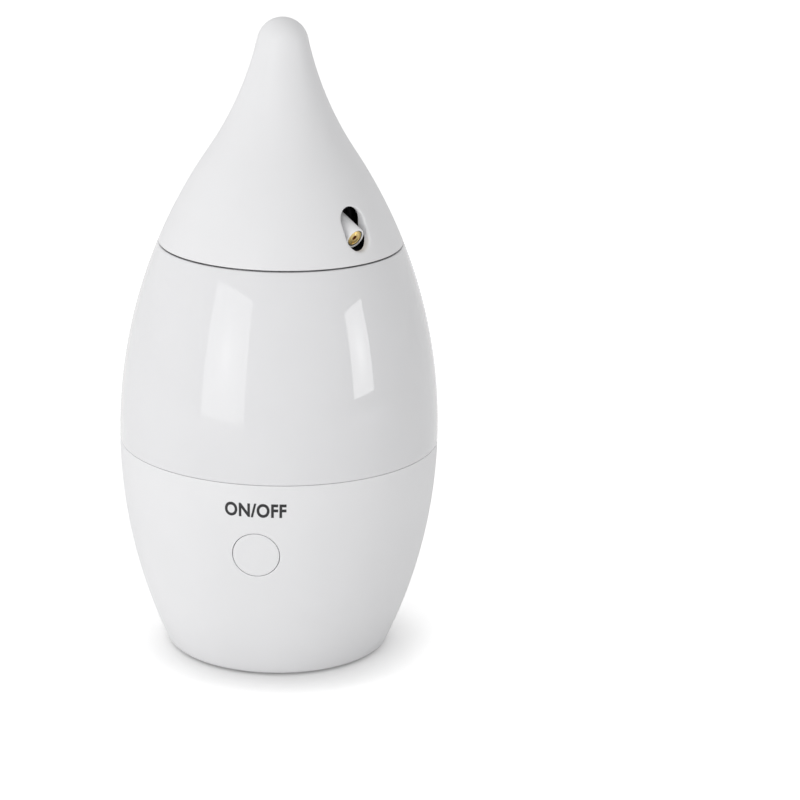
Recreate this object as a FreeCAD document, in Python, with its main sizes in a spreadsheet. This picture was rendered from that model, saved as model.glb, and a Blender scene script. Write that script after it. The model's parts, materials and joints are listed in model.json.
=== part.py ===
import FreeCAD, Part

# A rotating laser toy for cats. An egg-shaped body stands on four rubber feet and holds the cells, a
# control board, a push button and a gearmotor. A teardrop head turns on it without limit, on a hollow
# spindle with a slip ring, and carries two laser barrels. They tilt up and down in their windows, driven by
# one pinion between their toothed sectors. Millimetres and degrees, +Z up. The origin is the middle of the
# footprint on the floor, and the button faces -Y.
import math
import os
import re

import Sketcher
from FreeCAD import Vector

doc = FreeCAD.newDocument("LaserToy")

SIZES = {
    # outside form: two long arcs meet at the belly, a hollow arc sweeps into the round tip
    "body_radius": 55.0,
    "belly_height": 76.3,
    "base_radius": 38.64,
    "upper_arc": 176.5,
    "neck_arc": 113.3,
    "tip_radius": 8.7,
    "rim_height": 0.8,
    "seam_drop": 1.9,
    "seam_gap": 0.16,
    "head_seam": 143.45,
    "head_gap": 0.5,
    "head_height": 76.1,
    "shell_wall": 2.4,
    "head_wall": 2.2,
    "edge_round": 0.4,
    "rim_round": 0.9,
    # joint of the two body shells
    "tongue_height": 3.0,
    "tongue_wall": 1.4,
    "tongue_gap": 0.12,
    "lug_radius": 4.5,
    "lug_height": 8.0,
    "shell_boss_radius": 5.0,
    "shell_boss_height": 14.0,
    # bottom cover, battery well and door
    "cover_recess": 0.4,
    "cover_thickness": 2.8,
    "cover_gap": 0.15,
    "ledge_width": 3.2,
    "ledge_thickness": 2.0,
    "base_post_radius": 3.5,
    "base_post_height": 12.0,
    "post_overlap": 1.0,
    "cell_radius": 7.25,
    "cell_length": 50.5,
    "nub_radius": 2.75,
    "nub_height": 1.2,
    "cell_pitch": 15.2,
    "well_side_gap": 0.55,
    "well_wall": 1.6,
    "spring_room": 3.4,
    "spring_length": 9.0,
    "spring_width": 5.0,
    "spring_strip": 0.3,
    "spring_lean": 0.9,
    "contact_thickness": 0.4,
    "contact_width": 10.0,
    "contact_gap": 0.05,
    "door_width": 34.4,
    "door_back": 18.0,
    "door_edge": 1.74,
    "door_corner": 6.0,
    "door_thickness": 1.6,
    "door_gap": 0.2,
    "door_screw_inset": 4.4,
    "door_boss_radius": 3.6,
    "door_boss_height": 8.0,
    "tab_width": 6.0,
    "tab_height": 3.0,
    "tab_thickness": 1.0,
    "grip_inset": 3.0,
    "grip_pitch": 2.0,
    "grip_width": 1.0,
    "foot_radius": 3.9,
    "foot_edge": 1.14,
    "foot_sink": 1.0,
    "foot_gap": 0.1,
    # screws: three sizes of pan head, each with its pilot hole
    "large_shank": 1.25,
    "large_head": 2.8,
    "large_head_height": 1.6,
    "small_shank": 0.9,
    "small_head": 1.8,
    "small_head_height": 1.2,
    "screw_clearance": 0.35,
    "pilot_gap": 0.02,
    "captive_gap": 0.08,
    "counterbore_depth": 1.8,
    "pilot_floor": 2.0,
    "tip_room": 2.0,
    "small_pilot": 8.0,
    # room that is left between any two parts that only touch, and how far a cut starts before a face
    "press_gap": 0.01,
    "past": 1.0,
    # control board
    "board_length": 52.0,
    "board_width": 34.0,
    "board_thickness": 1.6,
    "board_corner": 3.0,
    "standoff_height": 3.0,
    "standoff_radius": 2.6,
    "standoff_place": 13.0,
    "chip_length": 10.0,
    "chip_width": 7.0,
    "chip_height": 1.8,
    "driver_side": 5.5,
    "driver_place": 9.0,
    "header_length": 5.0,
    "header_width": 8.0,
    "header_height": 6.0,
    "header_place": 21.0,
    "capacitor_radius": 3.15,
    "capacitor_height": 8.0,
    "capacitor_place": 10.0,
    "small_corner": 1.5,
    # power button and its switch
    "button_height": 49.1,
    "button_radius": 7.8,
    "button_gap": 0.2,
    "button_wall": 1.6,
    "guide_wall": 2.2,
    "guide_length": 6.86,
    "flange_radius": 9.3,
    "flange_thickness": 1.2,
    "stem_radius": 2.6,
    "stem_length": 3.3,
    "button_travel": 1.2,
    "plunger_radius": 1.75,
    "plunger_length": 5.0,
    "plunger_gap": 0.08,
    "switch_side": 8.0,
    "switch_depth": 6.0,
    "switch_board_width": 24.0,
    "switch_board_drop": 10.9,
    "switch_board_height": 21.8,
    "rail_bite": 1.1,
    "rail_width": 2.1,
    # motor deck in the top of the body
    "roof_opening": 30.0,
    "roof_thickness": 2.0,
    "deck_drop": 12.2,
    "deck_thickness": 3.0,
    "deck_gap": 0.6,
    "deck_post_radius": 3.5,
    "deck_post_gap": 0.05,
    "deck_boss_radius": 11.0,
    "deck_boss_drop": 6.0,
    "deck_boss_rise": 1.6,
    "rib_thickness": 1.6,
    "rib_depth": 4.0,
    "rib_gap": 1.7,
    "wire_hole_radius": 4.0,
    "wire_hole_ring": 22.0,
    # spindle and what turns on it
    "spindle_radius": 5.0,
    "spindle_bore": 3.0,
    "spindle_tail": 13.8,
    "running_gap": 0.05,
    "bush_wall": 2.0,
    "bush_flange": 9.0,
    "bush_flange_thickness": 0.8,
    "washer_thickness": 0.8,
    "hub_radius": 13.5,
    "clip_radius": 8.0,
    "clip_thickness": 1.0,
    "clip_groove": 0.7,
    "clip_mouth": 7.0,
    "end_float": 0.15,
    "drum_radius": 7.0,
    "drum_length": 11.0,
    "band_thickness": 0.5,
    "band_width": 1.4,
    "band_pitch": 2.6,
    "band_count": 4,
    "brush_width": 1.2,
    "holder_reach": 12.0,
    "holder_depth": 7.0,
    "holder_width": 12.0,
    # gears, all of one module
    "gear_module": 0.8,
    "spin_gear_teeth": 60,
    "spin_pinion_teeth": 12,
    "spin_gear_width": 4.5,
    "spin_pinion_width": 5.6,
    "tilt_sector_teeth": 44,
    "tilt_pinion_teeth": 12,
    "tilt_pinion_width": 4.0,
    "sector_teeth_kept": 5,
    "sector_width": 3.0,
    "pressure_angle": 20.0,
    "addendum": 0.8,
    "dedendum": 1.1,
    "backlash": 0.2,
    "gear_screw_bite": 4.0,
    "lightening_radius": 3.0,
    "lightening_ring": 18.2,
    # gearmotors, both of one size
    "motor_width": 12.0,
    "motor_depth": 10.0,
    "gearbox_length": 9.0,
    "can_length": 15.0,
    "motor_plate": 1.0,
    "gear_case_inset": 0.5,
    "motor_end_radius": 2.5,
    "motor_end_length": 1.0,
    "motor_nose_radius": 2.0,
    "motor_nose_length": 0.8,
    "motor_hole_depth": 2.0,
    "terminal_thickness": 0.5,
    "terminal_width": 1.8,
    "terminal_length": 2.4,
    "shaft_radius": 1.5,
    "shaft_flat": 1.0,
    "shaft_depth": 3.0,
    "shaft_end": 0.5,
    "motor_screw_place": 4.5,
    # turntable and head
    "table_rise": 0.3,
    "table_thickness": 2.8,
    "table_recess": 1.8,
    "table_gap": 0.15,
    "head_turn": -39.6,
    "post_cover": 0.77,
    "head_post_radius": 3.2,
    "head_post_height": 10.2,
    "window_width": 9.8,
    "sill_height": 0.51,
    "window_clear": 0.1,
    "window_rise": 4.5,
    "window_round": 1.0,
    "collar_depth": 4.4,
    "collar_wall": 1.2,
    "head_board_length": 26.0,
    "head_board_width": 14.0,
    "head_board_thickness": 1.2,
    "head_board_gap": 5.31,
    "head_board_screw": 9.0,
    # laser barrels, their pivots and cradle
    "middle_tilt": 13.0,
    "tilt_swing": 11.0,
    "tilt_now": 9.0,
    "mouth_depth": 2.69,
    "barrel_tail": 5.0,
    "barrel_front": 3.6,
    "barrel_back": 4.3,
    "sleeve_radius": 3.0,
    "sleeve_wall": 0.35,
    "module_gap": 0.4,
    "nut_length": 2.5,
    "aperture_radius": 0.95,
    "lens_thickness": 1.0,
    "face_sink": 0.3,
    "pin_radius": 1.2,
    "pin_end": 0.3,
    "cheek_gap": 0.7,
    "cheek_thickness": 2.0,
    "cheek_radius": 5.0,
    "cradle_thickness": 2.0,
    "cradle_half_length": 28.0,
    "cradle_half_width": 9.0,
    "saddle_end": 29.0,
    "cradle_window_length": 24.0,
    "cradle_window_width": 6.4,
    "cradle_screw_x": 14.5,
    "cradle_screw_y": 6.2,
    "pinion_stand_off": 1.2,
    "strap_post_x": 9.3,
    "strap_post_radius": 2.4,
    "strap_place": 15.0,
    "strap_thickness": 1.2,
    "strap_width": 5.0,
}

DERIVED = {
    # centres of the outside arcs, and the points where they meet
    "lower_bulge": "body_radius - base_radius",
    "lower_rise": "belly_height - rim_height",
    "lower_arc": "(lower_bulge^2 + lower_rise^2) / (2 * lower_bulge)",
    "lower_middle": "body_radius - lower_arc",
    "upper_middle": "body_radius - upper_arc",
    "body_top": "head_seam - head_gap / 2",
    "head_bottom": "head_seam + head_gap / 2",
    "total_height": "head_bottom + head_height",
    "tip_middle": "total_height - tip_radius",
    "neck_reach": "upper_arc + neck_arc",
    "tip_reach": "tip_radius + neck_arc",
    "rise": "tip_middle - belly_height",
    "span": "sqrt(upper_middle^2 + rise^2)",
    "along": "(neck_reach^2 - tip_reach^2 + span^2) / (2 * span)",
    "aside": "sqrt(neck_reach^2 - along^2)",
    "neck_x": "upper_middle + (rise * aside - upper_middle * along) / span",
    "neck_z": "belly_height + (rise * along + upper_middle * aside) / span",
    "body_seam": "belly_height - seam_drop",
    "lower_top": "body_seam - seam_gap / 2",
    "upper_bottom": "body_seam + seam_gap / 2",
    # joint of the body shells
    "tongue_out": "lower_middle + sqrt((lower_arc - shell_wall)^2 - seam_drop^2) - tongue_gap",
    "tongue_in": "tongue_out - tongue_wall",
    "tongue_top": "body_seam + tongue_height",
    "lug_ring": "tongue_out - lug_radius",
    # bottom cover and battery well
    "seat_radius": "base_radius - shell_wall",
    "cover_bottom": "rim_height + cover_recess",
    "cover_top": "cover_bottom + cover_thickness",
    "ledge_in": "seat_radius - ledge_width",
    "base_post_ring": "ledge_in - base_post_radius + post_overlap",
    "foot_ring": "seat_radius - foot_radius - foot_edge",
    "door_front": "base_post_ring - large_head - door_edge",
    "door_screw_y": "door_front - door_screw_inset",
    "door_top": "cover_bottom + door_thickness",
    "cell_place": "cell_pitch / 2",
    "well_half": "cell_pitch / 2 + cell_radius + well_side_gap",
    "cell_floor": "door_top + contact_thickness",
    "well_ceiling": "cell_floor + cell_length + spring_room + contact_thickness",
    "well_top": "well_ceiling + well_wall",
    "contact_ceiling": "well_ceiling - contact_thickness",
    "board_bottom": "well_top + standoff_height",
    # button and switch, all along -Y
    "button_reach": "lower_middle + sqrt(lower_arc^2 - (belly_height - button_height)^2)",
    "guide_end": "button_reach - guide_length",
    "guide_bore": "button_radius + button_gap",
    "flange_back": "guide_end - contact_gap - flange_thickness",
    "stem_end": "flange_back - stem_length",
    "plunger_end": "stem_end - plunger_length",
    "switch_front": "stem_end - 2 * button_travel - contact_gap",
    "switch_back": "switch_front - switch_depth",
    # spindle, from the turntable down
    "table_bottom": "head_bottom + table_rise",
    "table_top": "table_bottom + table_thickness",
    "roof_bottom": "body_top - roof_thickness",
    "roof_reach": "upper_middle + sqrt((upper_arc - shell_wall)^2 - (roof_bottom - belly_height)^2)",
    "deck_post_ring": "roof_reach - deck_post_radius - deck_post_gap",
    "rib_end": "deck_post_ring - large_head - rib_gap",
    "deck_top": "body_top - deck_drop",
    "deck_bottom": "deck_top - deck_thickness",
    "deck_boss_bottom": "deck_bottom - deck_boss_drop",
    "deck_boss_top": "deck_top + deck_boss_rise",
    "bush_radius": "spindle_radius + running_gap + bush_wall",
    "washer_bottom": "deck_boss_top + bush_flange_thickness",
    "washer_top": "washer_bottom + washer_thickness",
    "gear_bottom": "washer_top + running_gap",
    "gear_top": "gear_bottom + spin_gear_width",
    "clip_top": "deck_boss_bottom - end_float",
    "clip_bottom": "clip_top - clip_thickness",
    "spindle_bottom": "deck_boss_bottom - spindle_tail",
    "band_radius": "drum_radius + band_thickness",
    # gear centres
    "gear_screw_ring": "(hub_radius + bush_flange) / 2",
    "spin_reach": "gear_module * (spin_gear_teeth + spin_pinion_teeth) / 2",
    "pivot_reach": "gear_module * (tilt_sector_teeth + tilt_pinion_teeth) / 2",
    # head
    "cradle_top": "table_top + cradle_thickness",
    "head_post_top": "table_top + contact_gap + head_post_height",
    "post_reach": "upper_middle + sqrt(upper_arc^2 - (head_post_top - belly_height)^2)",
    "head_post_ring": "post_reach - head_post_radius - post_cover",
    "board_top": "table_top + standoff_height + head_board_thickness",
    "board_reach": "upper_middle + sqrt((upper_arc - head_wall)^2 - (board_top - belly_height)^2)",
    "board_side": "sqrt(board_reach^2 - (head_board_length / 2)^2)",
    "head_board_place": "board_side - head_board_width / 2 - head_board_gap",
    "window_bottom": "table_top + sill_height",
    "sill_side": "upper_middle + sqrt(upper_arc^2 - (window_bottom - belly_height)^2)",
    "barrel_reach": "sill_side - pivot_reach - mouth_depth",
    "lowest_tilt": "middle_tilt + tilt_swing",
    "mouth_drop": "barrel_reach * sin(lowest_tilt) + barrel_front * cos(lowest_tilt)",
    "pivot_height": "window_bottom + mouth_drop + window_clear",
    "window_top": "pivot_height + window_rise",
    "window_radius": "window_width / 2",
    "collar_base": "table_top + contact_gap",
    "collar_high": "window_top - window_radius",
    "collar_end": "upper_middle + sqrt(upper_arc^2 - (collar_high - belly_height)^2) - collar_depth",
    "module_length": "barrel_reach - pin_radius - module_gap",
    "tilt_first": "middle_tilt + tilt_now",
    "tilt_second": "middle_tilt - tilt_now",
    "cheek_place": "barrel_back + cheek_gap",
    "motor_face": "tilt_pinion_width / 2 + pinion_stand_off",
    "saddle_top": "pivot_height - motor_depth / 2",
    "strap_bottom": "pivot_height + motor_depth / 2 + contact_gap",
    "sleeve_bore": "sleeve_radius - sleeve_wall",
}

sizes = doc.addObject("Spreadsheet::Sheet", "Sizes")
derived = doc.addObject("Spreadsheet::Sheet", "Derived")
for row, (name, value) in enumerate(SIZES.items(), 1):
    sizes.set(f"A{row}", name)
    sizes.set(f"B{row}", str(value))
    sizes.setAlias(f"B{row}", name)
for row, (name, rule) in enumerate(DERIVED.items(), 1):
    cell = re.sub(r"[a-z]\w*", lambda found: ("Sizes." if found[0] in SIZES else "") + found[0], rule)
    derived.set(f"A{row}", name)
    derived.set(f"B{row}", f"={cell}")
    derived.setAlias(f"B{row}", name)
doc.recompute()


# ---- formulas ----
def formula(text):
    """The text with every size's name led by the sheet that holds it."""

    def led(found):
        word = found[0]
        sheet = "Sizes." if word in SIZES else "Derived." if word in DERIVED else ""
        return sheet + word

    return re.sub(r"[a-z]\w*", led, str(text))


def size(text):
    """The number that a formula gives."""
    return float(FreeCAD.Units.Quantity(sizes.evalExpression(formula(text))).Value)


def bind(thing, **rules):
    """Binds properties to formulas."""
    for name, rule in rules.items():
        thing.setExpression(name.replace("__", "."), formula(rule))
    return thing


def lower_side(height, inset="0"):
    """Radius of the body below the belly at a height, less an inset along the arc's own radius."""
    return f"(lower_middle + sqrt((lower_arc - {inset})^2 - ({height} - belly_height)^2))"


def upper_side(height, inset="0"):
    """Radius of the body and head above the belly, up to where the hollow neck starts."""
    return f"(upper_middle + sqrt((upper_arc - {inset})^2 - ({height} - belly_height)^2))"


def shoulder(inset="0"):
    """Point where the upper arc runs into the neck arc, inset by a wall."""
    share = f"((upper_arc - {inset}) / neck_reach)"
    height = f"belly_height + (neck_z - belly_height) * {share}"
    return f"upper_middle + (neck_x - upper_middle) * {share}", height


def throat(inset="0"):
    """Point where the neck arc runs into the tip, inset by a wall."""
    share = f"((tip_radius - {inset}) / tip_reach)"
    return f"neck_x * {share}", f"tip_middle + (neck_z - tip_middle) * {share}"


# ---- sketches and features ----
def new_body(name):
    body = doc.addObject("PartDesign::Body", name)
    body.Label = name
    return body


def new_sketch(body, plane, offset="0"):
    """Sketch on one of the body's own planes, moved along its normal: +Z for XY, -Y for XZ, +X for YZ."""
    sketch = body.newObject("Sketcher::SketchObject", f"{body.Name}_sketch")
    support = [feature for feature in body.Origin.OriginFeatures if feature.Role == f"{plane}_Plane"][0]
    sketch.AttachmentSupport = [(support, "")]
    sketch.MapMode = "FlatFace"
    return bind(sketch, AttachmentOffset__Base__z=offset)


def pin_distance(sketch, kind, edge, end, rule):
    """Ties one coordinate of an edge's start (1), end (2) or centre (3) to a formula."""
    index = sketch.addConstraint(Sketcher.Constraint(kind, -1, 1, edge, end, size(rule)))
    sketch.setExpression(f"Constraints[{index}]", formula(rule))


def pin_point(sketch, edge, end, x, y):
    pin_distance(sketch, "DistanceX", edge, end, x)
    pin_distance(sketch, "DistanceY", edge, end, y)


def pin_radius(sketch, edge, rule):
    index = sketch.addConstraint(Sketcher.Constraint("Radius", edge, size(rule)))
    sketch.setExpression(f"Constraints[{index}]", formula(rule))


def draw_circle(sketch, x, y, radius):
    circle = Part.Circle(Vector(size(x), size(y), 0), Vector(0, 0, 1), size(radius))
    edge = sketch.addGeometry(circle)
    pin_point(sketch, edge, 3, x, y)
    pin_radius(sketch, edge, radius)


def arc_between(start, end, radius, left):
    """Arc of less than half a turn from start to end that turns left or right on its way."""
    chord = end - start
    height = math.sqrt(max(0.0, radius**2 - (chord.Length / 2) ** 2))
    side = Vector(-chord.y, chord.x, 0).normalize() * (height if left else -height)
    middle = (start + end) / 2 + side
    first, last = (start, end) if left else (end, start)
    angles = [math.atan2(point.y - middle.y, point.x - middle.x) for point in (first, last)]
    if angles[1] <= angles[0]:
        angles[1] += 2 * math.pi
    return Part.ArcOfCircle(Part.Circle(middle, Vector(0, 0, 1), radius), *angles)


def draw_outline(sketch, corners):
    """Closed outline through corners (x, y). A corner (x, y, "left" or "right", radius) starts an arc, and
    a corner (x, y, "round") starts half a turn to the left, to the next corner at the same y."""
    points = [Vector(size(corner[0]), size(corner[1]), 0) for corner in corners]
    edges = []
    for corner, start, end in zip(corners, points, points[1:] + points[:1]):
        if len(corner) == 2:
            edges.append((sketch.addGeometry(Part.LineSegment(start, end)), 1, 2))
            continue
        right = corner[2] == "right"
        radius = size(corner[3]) if len(corner) > 3 else (end - start).Length / 2
        edge = sketch.addGeometry(arc_between(start, end, radius, not right))
        edges.append((edge, 2, 1) if right else (edge, 1, 2))
    for (edge, _, end), (following, start, _) in zip(edges, edges[1:] + edges[:1]):
        sketch.addConstraint(Sketcher.Constraint("Coincident", edge, end, following, start))
    for corner, (edge, start, _) in zip(corners, edges):
        pin_point(sketch, edge, start, corner[0], corner[1])
        if len(corner) > 3:
            pin_radius(sketch, edge, corner[3])
        elif len(corner) > 2:
            pin_distance(sketch, "DistanceY", edge, 3, corner[1])


def rectangle(left, bottom, right, top):
    return [(left, bottom), (right, bottom), (right, top), (left, top)]


def rounded_rectangle(left, bottom, right, top, corner):
    turn = ("left", corner)
    return [
        (f"{left} + {corner}", bottom),
        (f"{right} - {corner}", bottom, *turn),
        (right, f"{bottom} + {corner}"),
        (right, f"{top} - {corner}", *turn),
        (f"{right} - {corner}", top),
        (f"{left} + {corner}", top, *turn),
        (left, f"{top} - {corner}"),
        (left, f"{bottom} + {corner}", *turn),
    ]


def feature(body, kind, sketch, **rules):
    """Feature made from a sketch. One that changes no volume is an error in the model."""
    before = body.Shape.Volume if body.Tip else 0.0
    made = body.newObject(f"PartDesign::{kind}", f"{body.Name}_{kind.lower()}")
    made.Profile = sketch
    bind(made, **rules)
    if kind in ("Revolution", "Groove"):
        made.ReferenceAxis = (sketch, ["V_Axis"])
        made.Angle = 360
    if kind == "Pocket":
        made.Reversed = True
    doc.recompute()
    if abs(body.Shape.Volume - before) < 1e-3:
        raise RuntimeError(f"{made.Name} changes nothing")
    return made


def round_edges(body, radius, chosen):
    """Rounds the edges that a test picks."""
    edges = [(number, edge) for number, edge in enumerate(body.Shape.Edges, 1) if not edge.Degenerated]
    names = [f"Edge{number}" for number, edge in edges if chosen(edge)]
    if not names:
        raise RuntimeError(f"{body.Name} has no such edge")
    made = body.newObject("PartDesign::Fillet", f"{body.Name}_fillet")
    made.Base = (made.BaseFeature or body.Tip, names)
    bind(made, Radius=radius)
    doc.recompute()
    return made


def rim_at(radius, height):
    """Test for a round edge about Z of one radius and height."""

    def chosen(edge):
        box_of = edge.BoundBox
        level = abs(box_of.ZMin - size(height)) < 0.01 and abs(box_of.ZMax - size(height)) < 0.01
        reach = max(math.hypot(point.x, point.y) for point in edge.discretize(5))
        return level and abs(reach - size(radius)) < 0.01

    return chosen


def pad(body, sketch, length):
    """Adds the sketch's area along its plane's normal."""
    return feature(body, "Pad", sketch, Length=length)


def pocket(body, sketch, length):
    """Cuts the sketch's area away along its plane's normal."""
    return feature(body, "Pocket", sketch, Length=length)


def pad_circles(body, plane, offset, places, radius, length):
    sketch = new_sketch(body, plane, offset)
    for x, y in places:
        draw_circle(sketch, x, y, radius)
    return pad(body, sketch, length)


def pocket_circles(body, plane, offset, places, radius, length):
    sketch = new_sketch(body, plane, offset)
    for x, y in places:
        draw_circle(sketch, x, y, radius)
    return pocket(body, sketch, length)


def pad_outline(body, plane, offset, corners, length):
    sketch = new_sketch(body, plane, offset)
    draw_outline(sketch, corners)
    return pad(body, sketch, length)


def pocket_outline(body, plane, offset, corners, length):
    sketch = new_sketch(body, plane, offset)
    draw_outline(sketch, corners)
    return pocket(body, sketch, length)


def revolve(body, corners):
    """Turns an outline of radius and height about the Z axis."""
    sketch = new_sketch(body, "XZ")
    draw_outline(sketch, corners)
    return feature(body, "Revolution", sketch)


def on_ring(radius, start, count=4):
    """Places evenly spaced on a ring, from a start angle."""
    angles = [f"({start} + {360 // count * step})" for step in range(count)]
    return [(f"{radius} * cos{angle}", f"{radius} * sin{angle}") for angle in angles]


def four_corners(x, y):
    """Places at the corners of a rectangle centred on the axis."""
    return [(f"{side}{x}", f"{end}{y}") for side in ("", "-") for end in ("", "-")]


def left_and_right(x, y):
    return [(x, y), (f"-{x}", y)]


# ---- primitives ----
def place(thing, x="0", y="0", z="0", yaw="0", pitch="0", roll="0"):
    return bind(thing, Placement=f"placement(vector({x}; {y}; {z}); rotation({yaw}; {pitch}; {roll}))")


def cylinder(name, radius, length, **where):
    return place(bind(doc.addObject("Part::Cylinder", name), Radius=radius, Height=length), **where)


def box(name, length, width, height, **where):
    """Box centred on its place in X and Y, standing on it in Z."""
    made = bind(doc.addObject("Part::Box", name), Length=length, Width=width, Height=height)
    where["x"] = f"{where.get('x', '0')} - ({length}) / 2"
    where["y"] = f"{where.get('y', '0')} - ({width}) / 2"
    return place(made, **where)


def fuse(name, *pieces):
    made = doc.addObject("Part::MultiFuse", name)
    made.Shapes = list(pieces)
    return made


def common(name, *pieces):
    made = doc.addObject("Part::MultiCommon", name)
    made.Shapes = list(pieces)
    return made


def cut(name, base, tool):
    made = doc.addObject("Part::Cut", name)
    made.Base = base
    made.Tool = tool
    return made


def group(name, *pieces):
    """Separate solids kept as one sub-part."""
    made = doc.addObject("Part::Compound", name)
    made.Links = list(pieces)
    return made


def turned_with_head(thing):
    """Parts of the head are drawn with laser 1 along +X, then turned to where the head rests."""
    return place(thing, yaw="head_turn")


def in_laser(thing, number):
    """Parts of a laser are drawn along +X from its pivot, then put at the pivot with the laser's tilt."""
    side, turn, tilt = {1: ("", "0", "tilt_first"), 2: ("-", "180", "tilt_second")}[number]
    return place(
        thing,
        x=f"{side}pivot_reach * cos(head_turn)",
        y=f"{side}pivot_reach * sin(head_turn)",
        z="pivot_height",
        yaw=f"head_turn + {turn}",
        pitch=tilt,
    )


def screws(name, kind, places, head_at, length, up=True):
    """Pan-head screws of one kind, large or small. Each seats at head_at and its shank points up or down."""
    pieces = []
    for number, (x, y) in enumerate(places, 1):
        head_height = f"{kind}_head_height"
        head_bottom = f"{head_at} - {head_height}" if up else head_at
        shank_bottom = head_at if up else f"{head_at} - ({length})"
        head = cylinder(f"{name}_head_{number}", f"{kind}_head", head_height, x=x, y=y, z=head_bottom)
        shank = cylinder(f"{name}_shank_{number}", f"{kind}_shank", length, x=x, y=y, z=shank_bottom)
        pieces.append(fuse(f"{name}_screw_{number}", head, shank))
    return group(name, *pieces)


# ---- gears ----
def involute(base, angle):
    """Point of an involute of a base circle, at a roll angle."""
    return Vector(
        base * (math.cos(angle) + angle * math.sin(angle)),
        base * (math.sin(angle) - angle * math.cos(angle)),
        0,
    )


def turn_point(point, angle):
    return Vector(
        point.x * math.cos(angle) - point.y * math.sin(angle),
        point.x * math.sin(angle) + point.y * math.cos(angle),
        0,
    )


def tooth_flank(teeth):
    """Root, base, middle and tip points of the flank on the clockwise side of a tooth centred on +X."""
    module = size("gear_module")
    pitch_radius = module * teeth / 2
    base = pitch_radius * math.cos(math.radians(size("pressure_angle")))
    tip = pitch_radius + module * size("addendum")
    root = pitch_radius - module * size("dedendum")
    start = max(base, root)

    def on_involute(radius):
        return involute(base, math.sqrt((radius / base) ** 2 - 1))

    at_pitch = on_involute(pitch_radius)
    half_thickness = (math.pi * module / 2 - size("backlash") / 2) / 2 / pitch_radius
    turn = -half_thickness - math.atan2(at_pitch.y, at_pitch.x)
    flank = [turn_point(on_involute(radius), turn) for radius in (start, (start + tip) / 2, tip)]
    foot = flank[0] * (root / flank[0].Length)
    return [foot] + flank


def mirrored(point):
    return Vector(point.x, -point.y, 0)


def toothed_edges(teeth, count, first_angle):
    """Edges along count teeth, from the foot of the first to the foot of the last, counter-clockwise."""
    foot, start, middle, tip = tooth_flank(teeth)
    edges = []
    for number in range(count):
        angle = first_angle + 2 * math.pi / teeth * number

        def at(point, angle=angle):
            return turn_point(point, angle)

        if edges:
            edges.append(Part.LineSegment(last_foot, at(foot)).toShape())
        if (start - foot).Length > 1e-6:
            edges.append(Part.LineSegment(at(foot), at(start)).toShape())
        edges.append(Part.Arc(at(start), at(middle), at(tip)).toShape())
        edges.append(Part.LineSegment(at(tip), at(mirrored(tip))).toShape())
        edges.append(Part.Arc(at(mirrored(tip)), at(mirrored(middle)), at(mirrored(start))).toShape())
        last_foot = at(mirrored(foot))
        if (start - foot).Length > 1e-6:
            edges.append(Part.LineSegment(at(mirrored(start)), last_foot).toShape())
    return edges, turn_point(foot, first_angle), last_foot


def gear_blank(name, teeth, width, first_angle=0.0):
    """Full gear about Z from z = 0 up, with a tooth centred at the first angle."""
    edges, first, last = toothed_edges(int(size(teeth)), int(size(teeth)), math.radians(first_angle))
    edges.append(Part.LineSegment(last, first).toShape())
    made = doc.addObject("Part::Feature", name)
    made.Shape = Part.Face(Part.Wire(edges)).extrude(Vector(0, 0, size(width)))
    return made


# ---- lower body ----
def trim_outside(body):
    """Cuts off whatever stands out of the lower body's surface near the button."""
    low = "button_height - 2 * button_radius"
    high = "button_height + 2 * button_radius"
    sketch = new_sketch(body, "XZ")
    draw_outline(
        sketch,
        [
            (lower_side(low), low),
            ("body_radius + button_radius", low),
            ("body_radius + button_radius", high),
            (lower_side(high), high, "right", "lower_arc"),
        ],
    )
    return feature(body, "Groove", sketch)


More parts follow.
